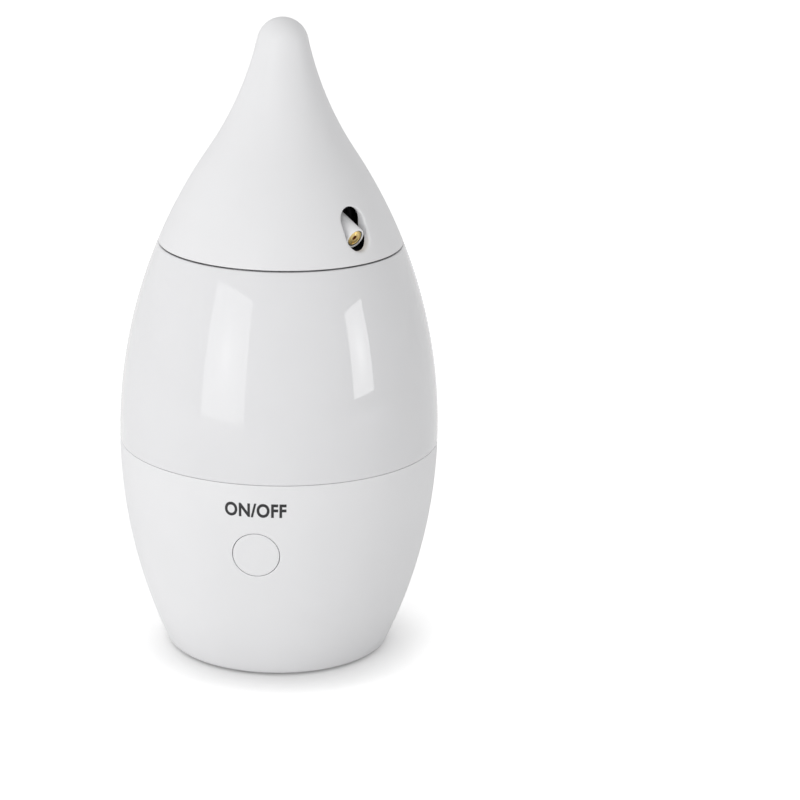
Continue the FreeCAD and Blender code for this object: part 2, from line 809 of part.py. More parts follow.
def make_lower_shell():
    body = new_body("lower_shell")
    root = "lower_top - tongue_height"
    slope = f"({root} - tongue_wall)"
    ledge_top = "cover_top + ledge_thickness"
    revolve(
        body,
        [
            (lower_side("rim_height"), "rim_height", "left", "lower_arc"),
            (lower_side("lower_top"), "lower_top"),
            ("tongue_out", "lower_top"),
            ("tongue_out", "tongue_top"),
            ("tongue_in", "tongue_top"),
            ("tongue_in", root),
            (lower_side(slope, "shell_wall"), slope, "right", "lower_arc - shell_wall"),
            (lower_side(f"({ledge_top})", "shell_wall"), ledge_top),
            ("ledge_in", ledge_top),
            ("ledge_in", "cover_top"),
            ("seat_radius", "cover_top"),
            ("seat_radius", "rim_height"),
        ],
    )
    lugs = on_ring("lug_ring", 45)
    pad_circles(body, "XY", "tongue_top - lug_height", lugs, "lug_radius", "lug_height")
    pocket_circles(
        body, "XY", "tongue_top - lug_height", lugs, "large_shank + screw_clearance", "lug_height"
    )
    posts = on_ring("base_post_ring", 0)
    pad_circles(body, "XY", "cover_top", posts, "base_post_radius", "base_post_height")
    pocket_circles(
        body, "XY", "cover_top", posts, "large_shank + pilot_gap", "base_post_height - ledge_thickness"
    )
    reach = "body_radius - guide_end"
    pad_circles(body, "XZ", "guide_end", [("0", "button_height")], "guide_bore + guide_wall", reach)
    rail_low = "button_height - switch_board_drop"
    rail_high = "button_height + switch_board_drop"
    rail_in = "switch_board_width / 2 - rail_bite"
    rail_out = "switch_board_width / 2 - rail_bite + rail_width"
    rails = new_sketch(body, "XZ", "switch_back - board_thickness")
    draw_outline(rails, rectangle(rail_in, rail_low, rail_out, rail_high))
    draw_outline(rails, rectangle(f"-({rail_out})", rail_low, f"-({rail_in})", rail_high))
    pad(body, rails, "body_radius - switch_back")
    slot_half = "switch_board_width / 2 + contact_gap"
    slot_back = "-(switch_back - board_thickness - contact_gap)"
    slot = rectangle(f"-({slot_half})", "-(switch_back + contact_gap)", slot_half, slot_back)
    pocket_outline(body, "XY", f"{rail_low} + rail_bite", slot, "2 * switch_board_drop")
    reach = "body_radius - guide_end + 2 * past"
    pocket_circles(body, "XZ", "guide_end - past", [("0", "button_height")], "guide_bore", reach)
    trim_outside(body)
    round_edges(body, "rim_round", rim_at(lower_side("rim_height"), "rim_height"))
    return body


def make_upper_shell():
    body = new_body("upper_shell")
    revolve(
        body,
        [
            (lower_side("upper_bottom"), "upper_bottom", "left", "lower_arc"),
            ("body_radius", "belly_height", "left", "upper_arc"),
            (upper_side("body_top"), "body_top"),
            ("roof_opening", "body_top"),
            ("roof_opening", "roof_bottom"),
            (upper_side("roof_bottom", "shell_wall"), "roof_bottom", "right", "upper_arc - shell_wall"),
            ("body_radius - shell_wall", "belly_height", "right", "lower_arc - shell_wall"),
            (lower_side("upper_bottom", "shell_wall"), "upper_bottom"),
        ],
    )
    bosses = on_ring("lug_ring", 45)
    foot = "tongue_top + contact_gap"
    pad_circles(body, "XY", foot, bosses, "shell_boss_radius", "shell_boss_height")
    pocket_circles(body, "XY", foot, bosses, "large_shank + pilot_gap", "shell_boss_height - pilot_floor")
    posts = on_ring("deck_post_ring", 45)
    post_length = "roof_bottom - deck_top"
    pad_circles(body, "XY", "deck_top", posts, "deck_post_radius", post_length)
    pocket_circles(body, "XY", "deck_top", posts, "large_shank + pilot_gap", post_length)
    round_edges(body, "edge_round", rim_at(upper_side("body_top"), "body_top"))
    return body


def make_bottom_cover():
    body = new_body("bottom_cover")
    pad_circles(body, "XY", "cover_bottom", [("0", "0")], "seat_radius - cover_gap", "cover_thickness")
    outer = "(well_half + well_wall)"
    walls = rounded_rectangle(f"-{outer}", f"-{outer}", outer, outer, "well_wall")
    pad_outline(body, "XY", "cover_top", walls, "well_top - cover_top")
    pad_circles(body, "XY", "cover_top", [("0", "door_screw_y")], "door_boss_radius", "door_boss_height")
    standoffs = four_corners("standoff_place", "standoff_place")
    pad_circles(body, "XY", "well_top", standoffs, "standoff_radius", "standoff_height")
    pocket_circles(body, "XY", "well_top", standoffs, "small_shank + pilot_gap", "standoff_height")
    inside = rectangle("-well_half", "-well_half", "well_half", "well_half")
    pocket_outline(body, "XY", "cover_bottom", inside, "well_ceiling - cover_bottom")
    half = "(door_width / 2 + door_gap)"
    back, front = "-(door_back + door_gap)", "(door_front + door_gap)"
    rebate = rounded_rectangle(f"-{half}", back, half, front, "door_corner")
    pocket_outline(body, "XY", "cover_bottom", rebate, "door_thickness")
    depth = "cover_thickness + door_boss_height - pilot_floor"
    pocket_circles(
        body, "XY", "cover_bottom", [("0", "door_screw_y")], "large_shank + captive_gap", depth
    )
    screw_places = on_ring("base_post_ring", 0)
    pocket_circles(
        body, "XY", "cover_bottom", screw_places, "large_shank + screw_clearance", "cover_thickness"
    )
    pocket_circles(
        body, "XY", "cover_bottom", screw_places, "large_head + screw_clearance", "counterbore_depth"
    )
    feet = on_ring("foot_ring", 45)
    pocket_circles(body, "XY", "cover_bottom", feet, "foot_radius + foot_gap", "foot_sink")
    return body


def make_rubber_feet():
    feet = []
    pad_length = "cover_bottom + foot_sink - cover_recess"
    for number, (x, y) in enumerate(on_ring("foot_ring", 45), 1):
        tread = bind(doc.addObject("Part::Cone", f"foot_tread_{number}"))
        bind(tread, Radius1="foot_radius - cover_recess", Radius2="foot_radius", Height="cover_recess")
        place(tread, x=x, y=y)
        above = cylinder(f"foot_pad_{number}", "foot_radius", pad_length, x=x, y=y, z="cover_recess")
        feet.append(fuse(f"foot_{number}", tread, above))
    return group("rubber_feet", *feet)


def make_base_screws():
    seat = "cover_bottom + counterbore_depth"
    length = "base_post_height - pilot_floor"
    return screws("base_screws", "large", on_ring("base_post_ring", 0), seat, length)


def make_body_screws():
    seat = "tongue_top - lug_height"
    length = "lug_height + shell_boss_height - pilot_floor - tip_room"
    return screws("body_screws", "large", on_ring("lug_ring", 45), seat, length)


# ---- battery bay ----
# The cells stand in series: plus up at the first and third place, plus down at the second and fourth.
CELL_PLACES = [("-cell_place", "-cell_place"), ("-cell_place", "cell_place")]
CELL_PLACES += [("cell_place", "cell_place"), ("cell_place", "-cell_place")]
PLUS_UP = [True, False, True, False]


def make_battery_cells():
    cells = []
    for number, ((x, y), plus_up) in enumerate(zip(CELL_PLACES, PLUS_UP), 1):
        bottom = "cell_floor + spring_room + contact_gap" if plus_up else "cell_floor + contact_gap"
        can_length = "cell_length - nub_height - 2 * contact_gap"
        can_bottom = bottom if plus_up else f"{bottom} + nub_height"
        nub_bottom = f"{bottom} + {can_length}" if plus_up else bottom
        can = cylinder(f"cell_can_{number}", "cell_radius", can_length, x=x, y=y, z=can_bottom)
        nub = cylinder(f"cell_nub_{number}", "nub_radius", "nub_height", x=x, y=y, z=nub_bottom)
        cells.append(fuse(f"cell_{number}", can, nub))
    return group("battery_cells", *cells)


def leaf_spring(name, x, y, bottom):
    """Strip folded twice, which seen from the front is a Z."""
    body = new_body(name)
    foot, head = f"{bottom} + contact_gap", f"{bottom} + spring_room - contact_gap"
    left, right = f"{x} - spring_length / 2", f"{x} + spring_length / 2"
    outline = [
        (left, foot),
        (right, foot),
        (f"{left} + spring_lean", f"{head} - spring_strip"),
        (right, f"{head} - spring_strip"),
        (right, head),
        (left, head),
        (f"{right} - spring_lean", f"{foot} + spring_strip"),
        (left, f"{foot} + spring_strip"),
    ]
    pad_outline(body, "XZ", f"-({y} + spring_width / 2)", outline, "spring_width")
    return body


def make_springs(name, plus_up, bottom):
    """Springs at the minus ends of the cells that stand one way."""
    leaves = []
    for number, ((x, y), up) in enumerate(zip(CELL_PLACES, PLUS_UP), 1):
        if up == plus_up:
            leaves.append(leaf_spring(f"{name}_{number}", x, y, bottom))
    return group(name, *leaves)


def make_door_contacts():
    """Two plates on the door, each joining two cells front to back."""
    plates = []
    plate = ("contact_width", "2 * cell_place + contact_width", "contact_thickness")
    for number, x in enumerate(("-cell_place", "cell_place"), 1):
        plates.append(box(f"door_plate_{number}", *plate, x=x, z="door_top"))
    return group("door_contacts", *plates)


def make_well_contacts():
    """Plates under the well's roof: one bridge at the back, and the two ends of the battery at the front."""
    level = {"z": "contact_ceiling"}
    length = "2 * cell_place + contact_width"
    bridge = box("well_bridge", length, "contact_width", "contact_thickness", y="cell_place", **level)
    ends = []
    for number, x in enumerate(("-cell_place", "cell_place"), 1):
        side = ("contact_width", "contact_width", "contact_thickness")
        ends.append(box(f"well_end_{number}", *side, x=x, y="-cell_place", **level))
    return group("well_contacts", bridge, *ends)


def make_battery_door():
    body = new_body("battery_door")
    side = "door_width / 2"
    outline = rounded_rectangle(f"-{side}", "-door_back", side, "door_front", "door_corner")
    pad_outline(body, "XY", "cover_bottom", outline, "door_thickness")
    tabs = new_sketch(body, "XY", "door_top")
    half = "tab_width / 2"
    outer = "(well_half - door_gap)"
    inner = f"({outer} - tab_thickness)"
    draw_outline(tabs, rectangle(f"-{half}", inner, half, outer))
    draw_outline(tabs, rectangle(f"-{half}", f"-{outer}", half, f"-{inner}"))
    draw_outline(tabs, rectangle(inner, f"-{half}", outer, half))
    draw_outline(tabs, rectangle(f"-{outer}", f"-{half}", f"-{inner}", half))
    pad(body, tabs, "tab_height")
    spot = [("0", "door_screw_y")]
    pocket_circles(body, "XY", "cover_bottom", spot, "large_shank + pilot_gap", "door_thickness")
    pocket_circles(body, "XY", "cover_bottom", spot, "large_head + screw_clearance", "door_thickness / 2")
    grips = new_sketch(body, "XY", "cover_bottom")
    for step in range(3):
        bottom = f"-door_back + grip_inset + {step} * grip_pitch"
        draw_outline(grips, rectangle("-tab_width", bottom, "tab_width", f"{bottom} + grip_width"))
    pocket(body, grips, "door_thickness / 4")
    return body


def make_door_screw():
    sink = "door_thickness / 2"
    head = cylinder("door_screw_head", "large_head", sink, y="door_screw_y", z="cover_bottom")
    length = "door_boss_height - tip_room"
    seat = f"cover_bottom + {sink}"
    shank = cylinder("door_screw_shank", "large_shank", length, y="door_screw_y", z=seat)
    return fuse("door_screw", head, shank)


# ---- control board, button and switch ----
def make_main_board():
    body = new_body("main_board")
    half = ("board_length / 2", "board_width / 2")
    outline = rounded_rectangle(f"-{half[0]}", f"-{half[1]}", *half, "board_corner")
    pad_outline(body, "XY", "board_bottom", outline, "board_thickness")
    places = four_corners("standoff_place", "standoff_place")
    pocket_circles(body, "XY", "board_bottom", places, "small_shank + screw_clearance", "board_thickness")
    return body


def make_board_parts():
    """Controller, driver, two plug headers and a storage capacitor."""
    z = "board_bottom + board_thickness"
    controller = box("controller", "chip_length", "chip_width", "chip_height", z=z)
    driver = box("driver", "driver_side", "driver_side", "chip_height", x="driver_place", z=z)
    header = ("header_length", "header_width", "header_height")
    header_1 = box("header_1", *header, x="-header_place", z=z)
    header_2 = box("header_2", *header, x="header_place", z=z)
    capacitor = cylinder("capacitor", "capacitor_radius", "capacitor_height", y="-capacitor_place", z=z)
    return group("board_parts", controller, driver, header_1, header_2, capacitor)


def make_board_screws():
    places = four_corners("standoff_place", "standoff_place")
    seat = "board_bottom + board_thickness"
    length = "standoff_height + board_thickness - contact_gap"
    return screws("board_screws", "small", places, seat, length, up=False)


def make_power_button():
    body = new_body("power_button")
    middle = [("0", "button_height")]
    front = "body_radius + past"
    pad_circles(body, "XZ", "stem_end", middle, "stem_radius", f"{front} - stem_end")
    pad_circles(body, "XZ", "flange_back", middle, "flange_radius", "flange_thickness")
    pad_circles(body, "XZ", "flange_back", middle, "button_radius", f"{front} - flange_back")
    hollow = new_sketch(body, "XZ", "flange_back")
    draw_circle(hollow, "0", "button_height", "button_radius - button_wall")
    draw_circle(hollow, "0", "button_height", "stem_radius")
    pocket(body, hollow, "flange_thickness + 2 * button_wall")
    trim_outside(body)
    return body


def make_switch_plunger():
    length = "plunger_length"
    return cylinder("switch_plunger", "plunger_radius", length, y="-stem_end", z="button_height", roll="-90")


def make_push_switch():
    case = doc.addObject("Part::Box", "switch_case")
    bind(case, Length="switch_side", Width="switch_depth", Height="switch_side")
    place(case, x="-switch_side / 2", y="-switch_front", z="button_height - switch_side / 2")
    reach = "switch_front - plunger_end + button_travel + contact_gap"
    radius = "plunger_radius + plunger_gap"
    bore = cylinder("switch_bore", radius, reach, y="-switch_front", z="button_height", roll="-90")
    return cut("push_switch", case, bore)


def make_switch_board():
    body = new_body("switch_board")
    low = "button_height - switch_board_drop + rail_bite"
    half = "switch_board_width / 2"
    outline = rectangle(f"-{half}", low, half, f"{low} + switch_board_height")
    pad_outline(body, "XZ", "switch_back - board_thickness", outline, "board_thickness")
    return body


# ---- motor deck ----
DECK_MOTOR = ("spin_reach", "0")
MOTOR_SCREWS = [("spin_reach", "motor_screw_place"), ("spin_reach", "-motor_screw_place")]
HOLDER_MIDDLE = "-(holder_reach + holder_depth / 2)"
HOLDER_SCREWS = [(HOLDER_MIDDLE, "holder_width / 4"), (HOLDER_MIDDLE, "-holder_width / 4")]


def make_motor_deck():
    body = new_body("motor_deck")
    radius = f"{upper_side('deck_top', 'shell_wall')} - deck_gap"
    pad_circles(body, "XY", "deck_bottom", [("0", "0")], radius, "deck_thickness")
    boss_length = "deck_boss_top - deck_boss_bottom"
    pad_circles(body, "XY", "deck_boss_bottom", [("0", "0")], "deck_boss_radius", boss_length)
    ribs = new_sketch(body, "XY", "deck_bottom - rib_depth")
    half = "rib_thickness / 2"
    corners = rectangle("deck_boss_radius - past", f"-{half}", "rib_end", half)
    for angle in (45, 135, 225, 315):
        turned = [
            (f"({x}) * cos({angle}) - ({y}) * sin({angle})", f"({x}) * sin({angle}) + ({y}) * cos({angle})")
            for x, y in corners
        ]
        draw_outline(ribs, turned)
    pad(body, ribs, "rib_depth")
    pocket_circles(body, "XY", "deck_boss_bottom", [("0", "0")], "bush_radius + pilot_gap", boss_length)
    below = "deck_bottom - past"
    through = "deck_thickness + 2 * past"
    posts = on_ring("deck_post_ring", 45)
    pocket_circles(body, "XY", below, posts, "large_shank + screw_clearance", through)
    pocket_circles(body, "XY", below, [DECK_MOTOR], "motor_end_radius + screw_clearance", through)
    pocket_circles(body, "XY", below, MOTOR_SCREWS, "small_shank + screw_clearance", through)
    pocket_circles(body, "XY", below, on_ring("wire_hole_ring", 90, 2), "wire_hole_radius", through)
    pocket_circles(body, "XY", below, HOLDER_SCREWS, "small_shank + screw_clearance", through)
    return body


def make_deck_screws():
    length = "roof_bottom - deck_bottom - tip_room"
    return screws("deck_screws", "large", on_ring("deck_post_ring", 45), "deck_bottom", length)


def gearmotor(name):
    """Flat gearmotor with its front face on z = 0, its shaft hole along +Z and its can below."""
    width, depth = "motor_width", "motor_depth"
    plate_1 = box(f"{name}_front_plate", width, depth, "motor_plate", z="-motor_plate")
    plate_2 = box(f"{name}_back_plate", width, depth, "motor_plate", z="-gearbox_length")
    inset = "2 * gear_case_inset"
    case_size = (f"{width} - {inset}", f"{depth} - {inset}", "gearbox_length - motor_plate")
    case = box(f"{name}_gears", *case_size, z="-gearbox_length + motor_plate / 2")
    can_floor = "-(gearbox_length + can_length)"
    round_can = cylinder(f"{name}_round", f"{width} / 2", "can_length", z=can_floor)
    flats = box(f"{name}_flats", width, depth, "can_length", z=can_floor)
    can = common(f"{name}_can", round_can, flats)
    end_floor = f"{can_floor} - motor_end_length"
    cap = cylinder(f"{name}_cap", "motor_end_radius", "motor_end_length", z=end_floor)
    nose = cylinder(f"{name}_nose", "motor_nose_radius", "motor_nose_length")
    terminals = []
    blade = ("terminal_thickness", "terminal_width", "terminal_length")
    for number, side in enumerate(("", "-"), 1):
        spot = {"x": f"{side}motor_width / 3", "z": f"{can_floor} - terminal_length"}
        terminals.append(box(f"{name}_terminal_{number}", *blade, **spot))
    whole = fuse(f"{name}_whole", plate_1, plate_2, case, can, cap, nose, *terminals)
    bore_length = "shaft_depth + contact_gap + motor_nose_length"
    tools = [
        cylinder(f"{name}_bore", "shaft_radius + running_gap", bore_length, z="-shaft_depth - contact_gap")
    ]
    for number, (x, y) in enumerate(left_and_right("motor_screw_place", "0"), 1):
        hole = ("small_shank + pilot_gap", "motor_hole_depth")
        tools.append(cylinder(f"{name}_hole_{number}", *hole, x=x, y=y, z="-motor_hole_depth"))
    return cut(name, whole, fuse(f"{name}_tools", *tools))


def make_spin_motor():
    return place(gearmotor("spin_motor"), x="spin_reach", z="deck_bottom", yaw="90")


def make_spin_motor_screws():
    """Two screws from the deck's top into the gearbox, beside the shaft."""
    length = "deck_thickness + motor_hole_depth - contact_gap"
    return screws("spin_motor_screws", "small", MOTOR_SCREWS, "deck_top", length, up=False)


def flat_shaft(name, length, gap="0"):
    """Round shaft with one flat, about Z from z = 0 up."""
    radius = f"shaft_radius + {gap}"
    round_part = cylinder(f"{name}_round", radius, length)
    side = f"2 * ({radius})"
    flat = box(f"{name}_side", f"{radius} + shaft_flat + {gap}", side, length)
    place(flat, x=f"-({radius})", y=f"-({radius})")
    return common(name, round_part, flat)


def make_spin_shaft():
    length = "shaft_depth + gear_top - deck_bottom + shaft_end"
    return place(flat_shaft("spin_shaft", length), x="spin_reach", z="deck_bottom - shaft_depth")


def make_spin_pinion():
    half_tooth = 180 / size("spin_pinion_teeth")
    blank = gear_blank("spin_pinion_blank", "spin_pinion_teeth", "spin_pinion_width", half_tooth)
    bore = flat_shaft("spin_pinion_bore", "spin_pinion_width", "press_gap")
    bottom = "gear_bottom - (spin_pinion_width - spin_gear_width) / 2"
    return place(cut("spin_pinion", blank, bore), x="spin_reach", z=bottom)


def make_spindle_bush():
    body = new_body("spindle_bush")
    bore = "spindle_radius + running_gap"
    revolve(
        body,
        [
            (bore, "deck_boss_bottom"),
            ("bush_radius", "deck_boss_bottom"),
            ("bush_radius", "deck_boss_top"),
            ("bush_flange", "deck_boss_top"),
            ("bush_flange", "washer_bottom"),
            (bore, "washer_bottom"),
        ],
    )
    return body


def ring(name, inner, outer, thickness, z):
    tool = cylinder(f"{name}_hole", inner, thickness, z=z)
    return cut(name, cylinder(f"{name}_disc", outer, thickness, z=z), tool)


def make_thrust_washer():
    inner = "spindle_radius + running_gap"
    return ring("thrust_washer", inner, "bush_flange", "washer_thickness", "washer_bottom")


def band_bottom(number):
    return f"spindle_bottom + (drum_length - band_count * band_pitch) / 2 + band_pitch * {number}"


def make_brush_holder():
    body = new_body("brush_holder")
    far = "-(holder_reach + holder_depth)"
    near = "-holder_reach"
    half = "holder_width / 2"
    outline = rounded_rectangle(far, f"-{half}", near, half, "small_corner")
    pad_outline(body, "XY", "spindle_bottom", outline, "deck_bottom - spindle_bottom")
    pilot = ("small_shank + pilot_gap", "small_pilot")
    pocket_circles(body, "XY", "deck_bottom - small_pilot", HOLDER_SCREWS, *pilot)
    return body


def make_holder_screws():
    length = "deck_thickness + small_pilot - tip_room"
    return screws("holder_screws", "small", HOLDER_SCREWS, "deck_top", length, up=False)


def make_brushes():
    """One contact block on each slip ring band."""
    blocks = []
    length = "holder_reach - band_radius - running_gap"
    for number in range(int(size("band_count"))):
        bottom = f"{band_bottom(number)} + (band_width - brush_width) / 2"
        where = {"x": f"-holder_reach + ({length}) / 2", "z": bottom}
        blocks.append(box(f"brush_{number + 1}", length, "brush_width", "brush_width", **where))
    return group("brushes", *blocks)


# ---- head: turntable, spindle and slip ring ----
CRADLE_SCREWS = four_corners("cradle_screw_x", "cradle_screw_y")
BOARD_SCREWS = left_and_right("head_board_screw", "-head_board_place")
STRAP_SCREWS = left_and_right("strap_post_x", "strap_place")


def make_turntable():
    body = new_body("turntable")
    radius = f"{upper_side('table_top', 'head_wall')} - table_gap"
    groove = "spindle_radius - clip_groove"
    revolve(
        body,
        [
            ("spindle_bore", "spindle_bottom"),
            ("spindle_radius", "spindle_bottom"),
            ("spindle_radius", "clip_bottom"),
            (groove, "clip_bottom"),
            (groove, "clip_top"),
            ("spindle_radius", "clip_top"),
            ("spindle_radius", "gear_top"),
            ("hub_radius", "gear_top"),
            ("hub_radius", "table_bottom"),
            (radius, "table_bottom"),
            (radius, "table_top"),
            ("spindle_bore", "table_top"),
        ],
    )
    pilots = on_ring("gear_screw_ring", "90 - head_turn", 2)
    pocket_circles(body, "XY", "gear_top", pilots, "small_shank + pilot_gap", "gear_screw_bite")
    pad_circles(body, "XY", "table_top", BOARD_SCREWS, "standoff_radius", "standoff_height")
    posts = on_ring("head_post_ring", 45)
    below = "table_bottom - past"
    through = "table_thickness + 2 * past"
    pocket_circles(body, "XY", below, posts, "large_shank + screw_clearance", through)
    pocket_circles(body, "XY", below, posts, "large_head + screw_clearance", "past + table_recess")
    pocket_circles(body, "XY", below, CRADLE_SCREWS, "small_shank + pilot_gap", through)
    pocket_circles(body, "XY", below, BOARD_SCREWS, "small_shank + pilot_gap", f"{through} + standoff_height")
    return turned_with_head(body)


def make_spin_gear():
    """Sixty teeth, six lightening holes, and a tooth that points at the pinion at rest."""
    blank = gear_blank("spin_gear_blank", "spin_gear_teeth", "spin_gear_width")
    tools = [cylinder("spin_gear_bore", "spindle_radius + pilot_gap", "spin_gear_width")]
    for number, (x, y) in enumerate(on_ring("lightening_ring", 0, 6), 1):
        tools.append(cylinder(f"spin_gear_hole_{number}", "lightening_radius", "spin_gear_width", x=x, y=y))
    for number, (x, y) in enumerate(on_ring("gear_screw_ring", 90, 2), 1):
        radius = "small_shank + pilot_gap"
        tools.append(cylinder(f"spin_gear_screw_hole_{number}", radius, "spin_gear_width", x=x, y=y))
    return place(cut("spin_gear", blank, fuse("spin_gear_tools", *tools)), z="gear_bottom")


def make_retaining_clip():
    """Spring clip in the spindle's groove, open on one side."""
    inner = "spindle_radius - clip_groove + pilot_gap"
    disc = ring("clip_disc", inner, "clip_radius", "clip_thickness", "clip_bottom")
    gap = ("2 * clip_radius", "clip_mouth", "clip_thickness")
    return cut("retaining_clip", disc, box("clip_mouth", *gap, x="clip_radius", z="clip_bottom"))


def make_slip_ring_drum():
    inner = "spindle_radius + pilot_gap"
    return ring("slip_ring_drum", inner, "drum_radius", "drum_length", "spindle_bottom")


def make_slip_ring_bands():
    bands = []
    for number in range(int(size("band_count"))):
        name = f"slip_ring_band_{number + 1}"
        inner = "drum_radius + press_gap"
        bands.append(ring(name, inner, "band_radius", "band_width", band_bottom(number)))
    return group("slip_ring_bands", *bands)


# ---- head: shell, cradle, tilt motor ----
def trim_collars(body):
    """Cuts off whatever stands out of the head's surface near the windows."""
    low = "collar_base - 2 * collar_wall"
    high = "window_top + 2 * collar_wall"
    sketch = new_sketch(body, "XZ")
    draw_outline(
        sketch,
        [
            (upper_side(low), low),
            ("body_radius + past", low),
            ("body_radius + past", high),
            (upper_side(high), high, "right", "upper_arc"),
        ],
    )
    return feature(body, "Groove", sketch)


def make_head_shell():
    body = new_body("head_shell")
    wall = "head_wall"
    revolve(
        body,
        [
            (upper_side("head_bottom"), "head_bottom", "left", "upper_arc"),
            (*shoulder(), "right", "neck_arc"),
            (*throat(), "left", "tip_radius"),
            ("0", "total_height"),
            ("0", f"total_height - {wall}", "right", f"tip_radius - {wall}"),
            (*throat(wall), "left", f"neck_arc + {wall}"),
            (*shoulder(wall), "right", f"upper_arc - {wall}"),
            (upper_side("head_bottom", wall), "head_bottom"),
        ],
    )
    posts = on_ring("head_post_ring", 45)
    foot = "table_top + contact_gap"
    pad_circles(body, "XY", foot, posts, "head_post_radius", "head_post_height")
    pocket_circles(body, "XY", foot, posts, "large_shank + pilot_gap", "head_post_height - pilot_floor")
    outer = "(window_radius + collar_wall)"
    collar = [(f"-{outer}", "collar_base"), (outer, "collar_base")]
    collar += [(outer, "collar_high", "round"), (f"-{outer}", "collar_high")]
    pad_outline(body, "YZ", "collar_end", collar, "body_radius - collar_end")
    pad_outline(body, "YZ", "-body_radius", collar, "body_radius - collar_end")
    trim_collars(body)
    half = "window_radius"
    low = "window_bottom + window_radius"
    high = "collar_high"
    window = [(half, low), (half, high, "round"), (f"-{half}", high), (f"-{half}", low, "round")]
    pocket_outline(body, "YZ", "-body_radius", window, "2 * body_radius")

    def on_window_lip(edge):
        points = edge.discretize(5)
        within = all(abs(point.y) < size(half) + 0.1 for point in points)
        above = all(point.z > size("window_bottom") - 0.1 for point in points)
        reach = [math.hypot(point.x, point.y) - size(upper_side(point.z)) for point in points]
        return within and above and max(map(abs, reach)) < 0.01

    round_edges(body, "window_round", on_window_lip)
    round_edges(body, "edge_round", rim_at(upper_side("head_bottom"), "head_bottom"))
    return turned_with_head(body)


def make_head_screws():
    seat = "table_bottom + table_recess"
    length = "table_thickness - table_recess + head_post_height - pilot_floor - tip_room / 2"
    made = screws("head_screws", "large", on_ring("head_post_ring", 45), seat, length)
    return turned_with_head(made)


def make_gear_screws():
    """Two screws that hold the spin gear up against the turntable's hub."""
    places = on_ring("gear_screw_ring", 90, 2)
    return screws("gear_screws", "small", places, "gear_bottom", "spin_gear_width + gear_screw_bite")


def make_laser_cradle():
    body = new_body("laser_cradle")
    length, width, end = "cradle_half_length", "cradle_half_width", "saddle_end"
    plan = [(f"-{length}", f"-{width}"), (length, f"-{width}"), (length, width), (width, width)]
    plan += [(width, end), (f"-{width}", end), (f"-{width}", width), (f"-{length}", width)]
    pad_outline(body, "XY", "table_top", plan, "cradle_thickness")
    saddle = rectangle("-motor_width / 2", "motor_face", "motor_width / 2", end)
    pad_outline(body, "XY", "cradle_top", saddle, "saddle_top - cradle_top")
    post_length = "strap_bottom - table_top"
    pad_circles(body, "XY", "table_top", STRAP_SCREWS, "strap_post_radius", post_length)
    pilot = ("small_shank + pilot_gap", "small_pilot")
    pocket_circles(body, "XY", "strap_bottom - small_pilot", STRAP_SCREWS, *pilot)
    for side in ("", "-"):
        for face in ("-cheek_place - cheek_thickness", "cheek_place"):
            middle = f"{side}pivot_reach"
            near, far = f"{middle} + cheek_radius", f"{middle} - cheek_radius"
            ear = [(far, "table_top"), (near, "table_top")]
            ear += [(near, "pivot_height", "round"), (far, "pivot_height")]
            pad_outline(body, "XZ", face, ear, "cheek_thickness")
    pivots = left_and_right("pivot_reach", "pivot_height")
    reach = "cheek_place + cheek_thickness + past"
    pocket_circles(body, "XZ", f"-({reach})", pivots, "pin_radius + running_gap", f"2 * ({reach})")
    half_length, half_width = "cradle_window_length / 2", "cradle_window_width / 2"
    window = rectangle(f"-{half_length}", f"-{half_width}", half_length, half_width)
    pocket_outline(body, "XY", "table_top", window, "cradle_thickness")
    clearance = "small_shank + screw_clearance"
    pocket_circles(body, "XY", "table_top", CRADLE_SCREWS, clearance, "cradle_thickness")
    return turned_with_head(body)


def make_cradle_screws():
    length = "cradle_thickness + table_thickness"
    made = screws("cradle_screws", "small", CRADLE_SCREWS, "cradle_top", length, up=False)
    return turned_with_head(made)


def make_tilt_motor():
    """Lies across the head behind the tilt pinion, its shaft pointing to the pinion."""
    x, y = "-motor_face * sin(head_turn)", "motor_face * cos(head_turn)"
    return place(gearmotor("tilt_motor"), x=x, y=y, z="pivot_height", yaw="head_turn", roll="90")


def make_motor_strap():
    body = new_body("motor_strap")
    reach = "(strap_post_x + strap_post_radius)"
    half = "strap_width / 2"
    low, high = f"strap_place - {half}", f"strap_place + {half}"
    outline = rounded_rectangle(f"-{reach}", low, reach, high, "small_corner")
    pad_outline(body, "XY", "strap_bottom", outline, "strap_thickness")
    clearance = "small_shank + screw_clearance"
    pocket_circles(body, "XY", "strap_bottom", STRAP_SCREWS, clearance, "strap_thickness")
    return turned_with_head(body)


def make_strap_screws():
    seat = "strap_bottom + strap_thickness"
    length = "strap_thickness + small_pilot - tip_room"
    return turned_with_head(screws("strap_screws", "small", STRAP_SCREWS, seat, length, up=False))


def make_head_board():
    body = new_body("head_board")
    half = "head_board_length / 2"
    front = "-head_board_place - head_board_width / 2"
    back = "-head_board_place + head_board_width / 2"
    outline = rounded_rectangle(f"-{half}", front, half, back, "small_corner")
    level = "table_top + standoff_height"
    pad_outline(body, "XY", level, outline, "head_board_thickness")
    clearance = "small_shank + screw_clearance"
    pocket_circles(body, "XY", level, BOARD_SCREWS, clearance, "head_board_thickness")
    return turned_with_head(body)


def make_head_board_screws():
    length = "standoff_height + head_board_thickness"
    made = screws("head_board_screws", "small", BOARD_SCREWS, f"table_top + {length}", length, up=False)
    return turned_with_head(made)


# ---- tilt pinion and lasers ----
def in_tilt_pinion(thing, along):
    """Puts a part drawn about Z onto the tilt pinion's axis, which points back to the motor, along it."""
    shift = {"x": f"({along}) * sin(head_turn)", "y": f"-({along}) * cos(head_turn)"}
    ratio = "tilt_sector_teeth / tilt_pinion_teeth"
    return place(thing, **shift, z="pivot_height", yaw="head_turn", pitch=f"-tilt_now * {ratio}", roll="90")


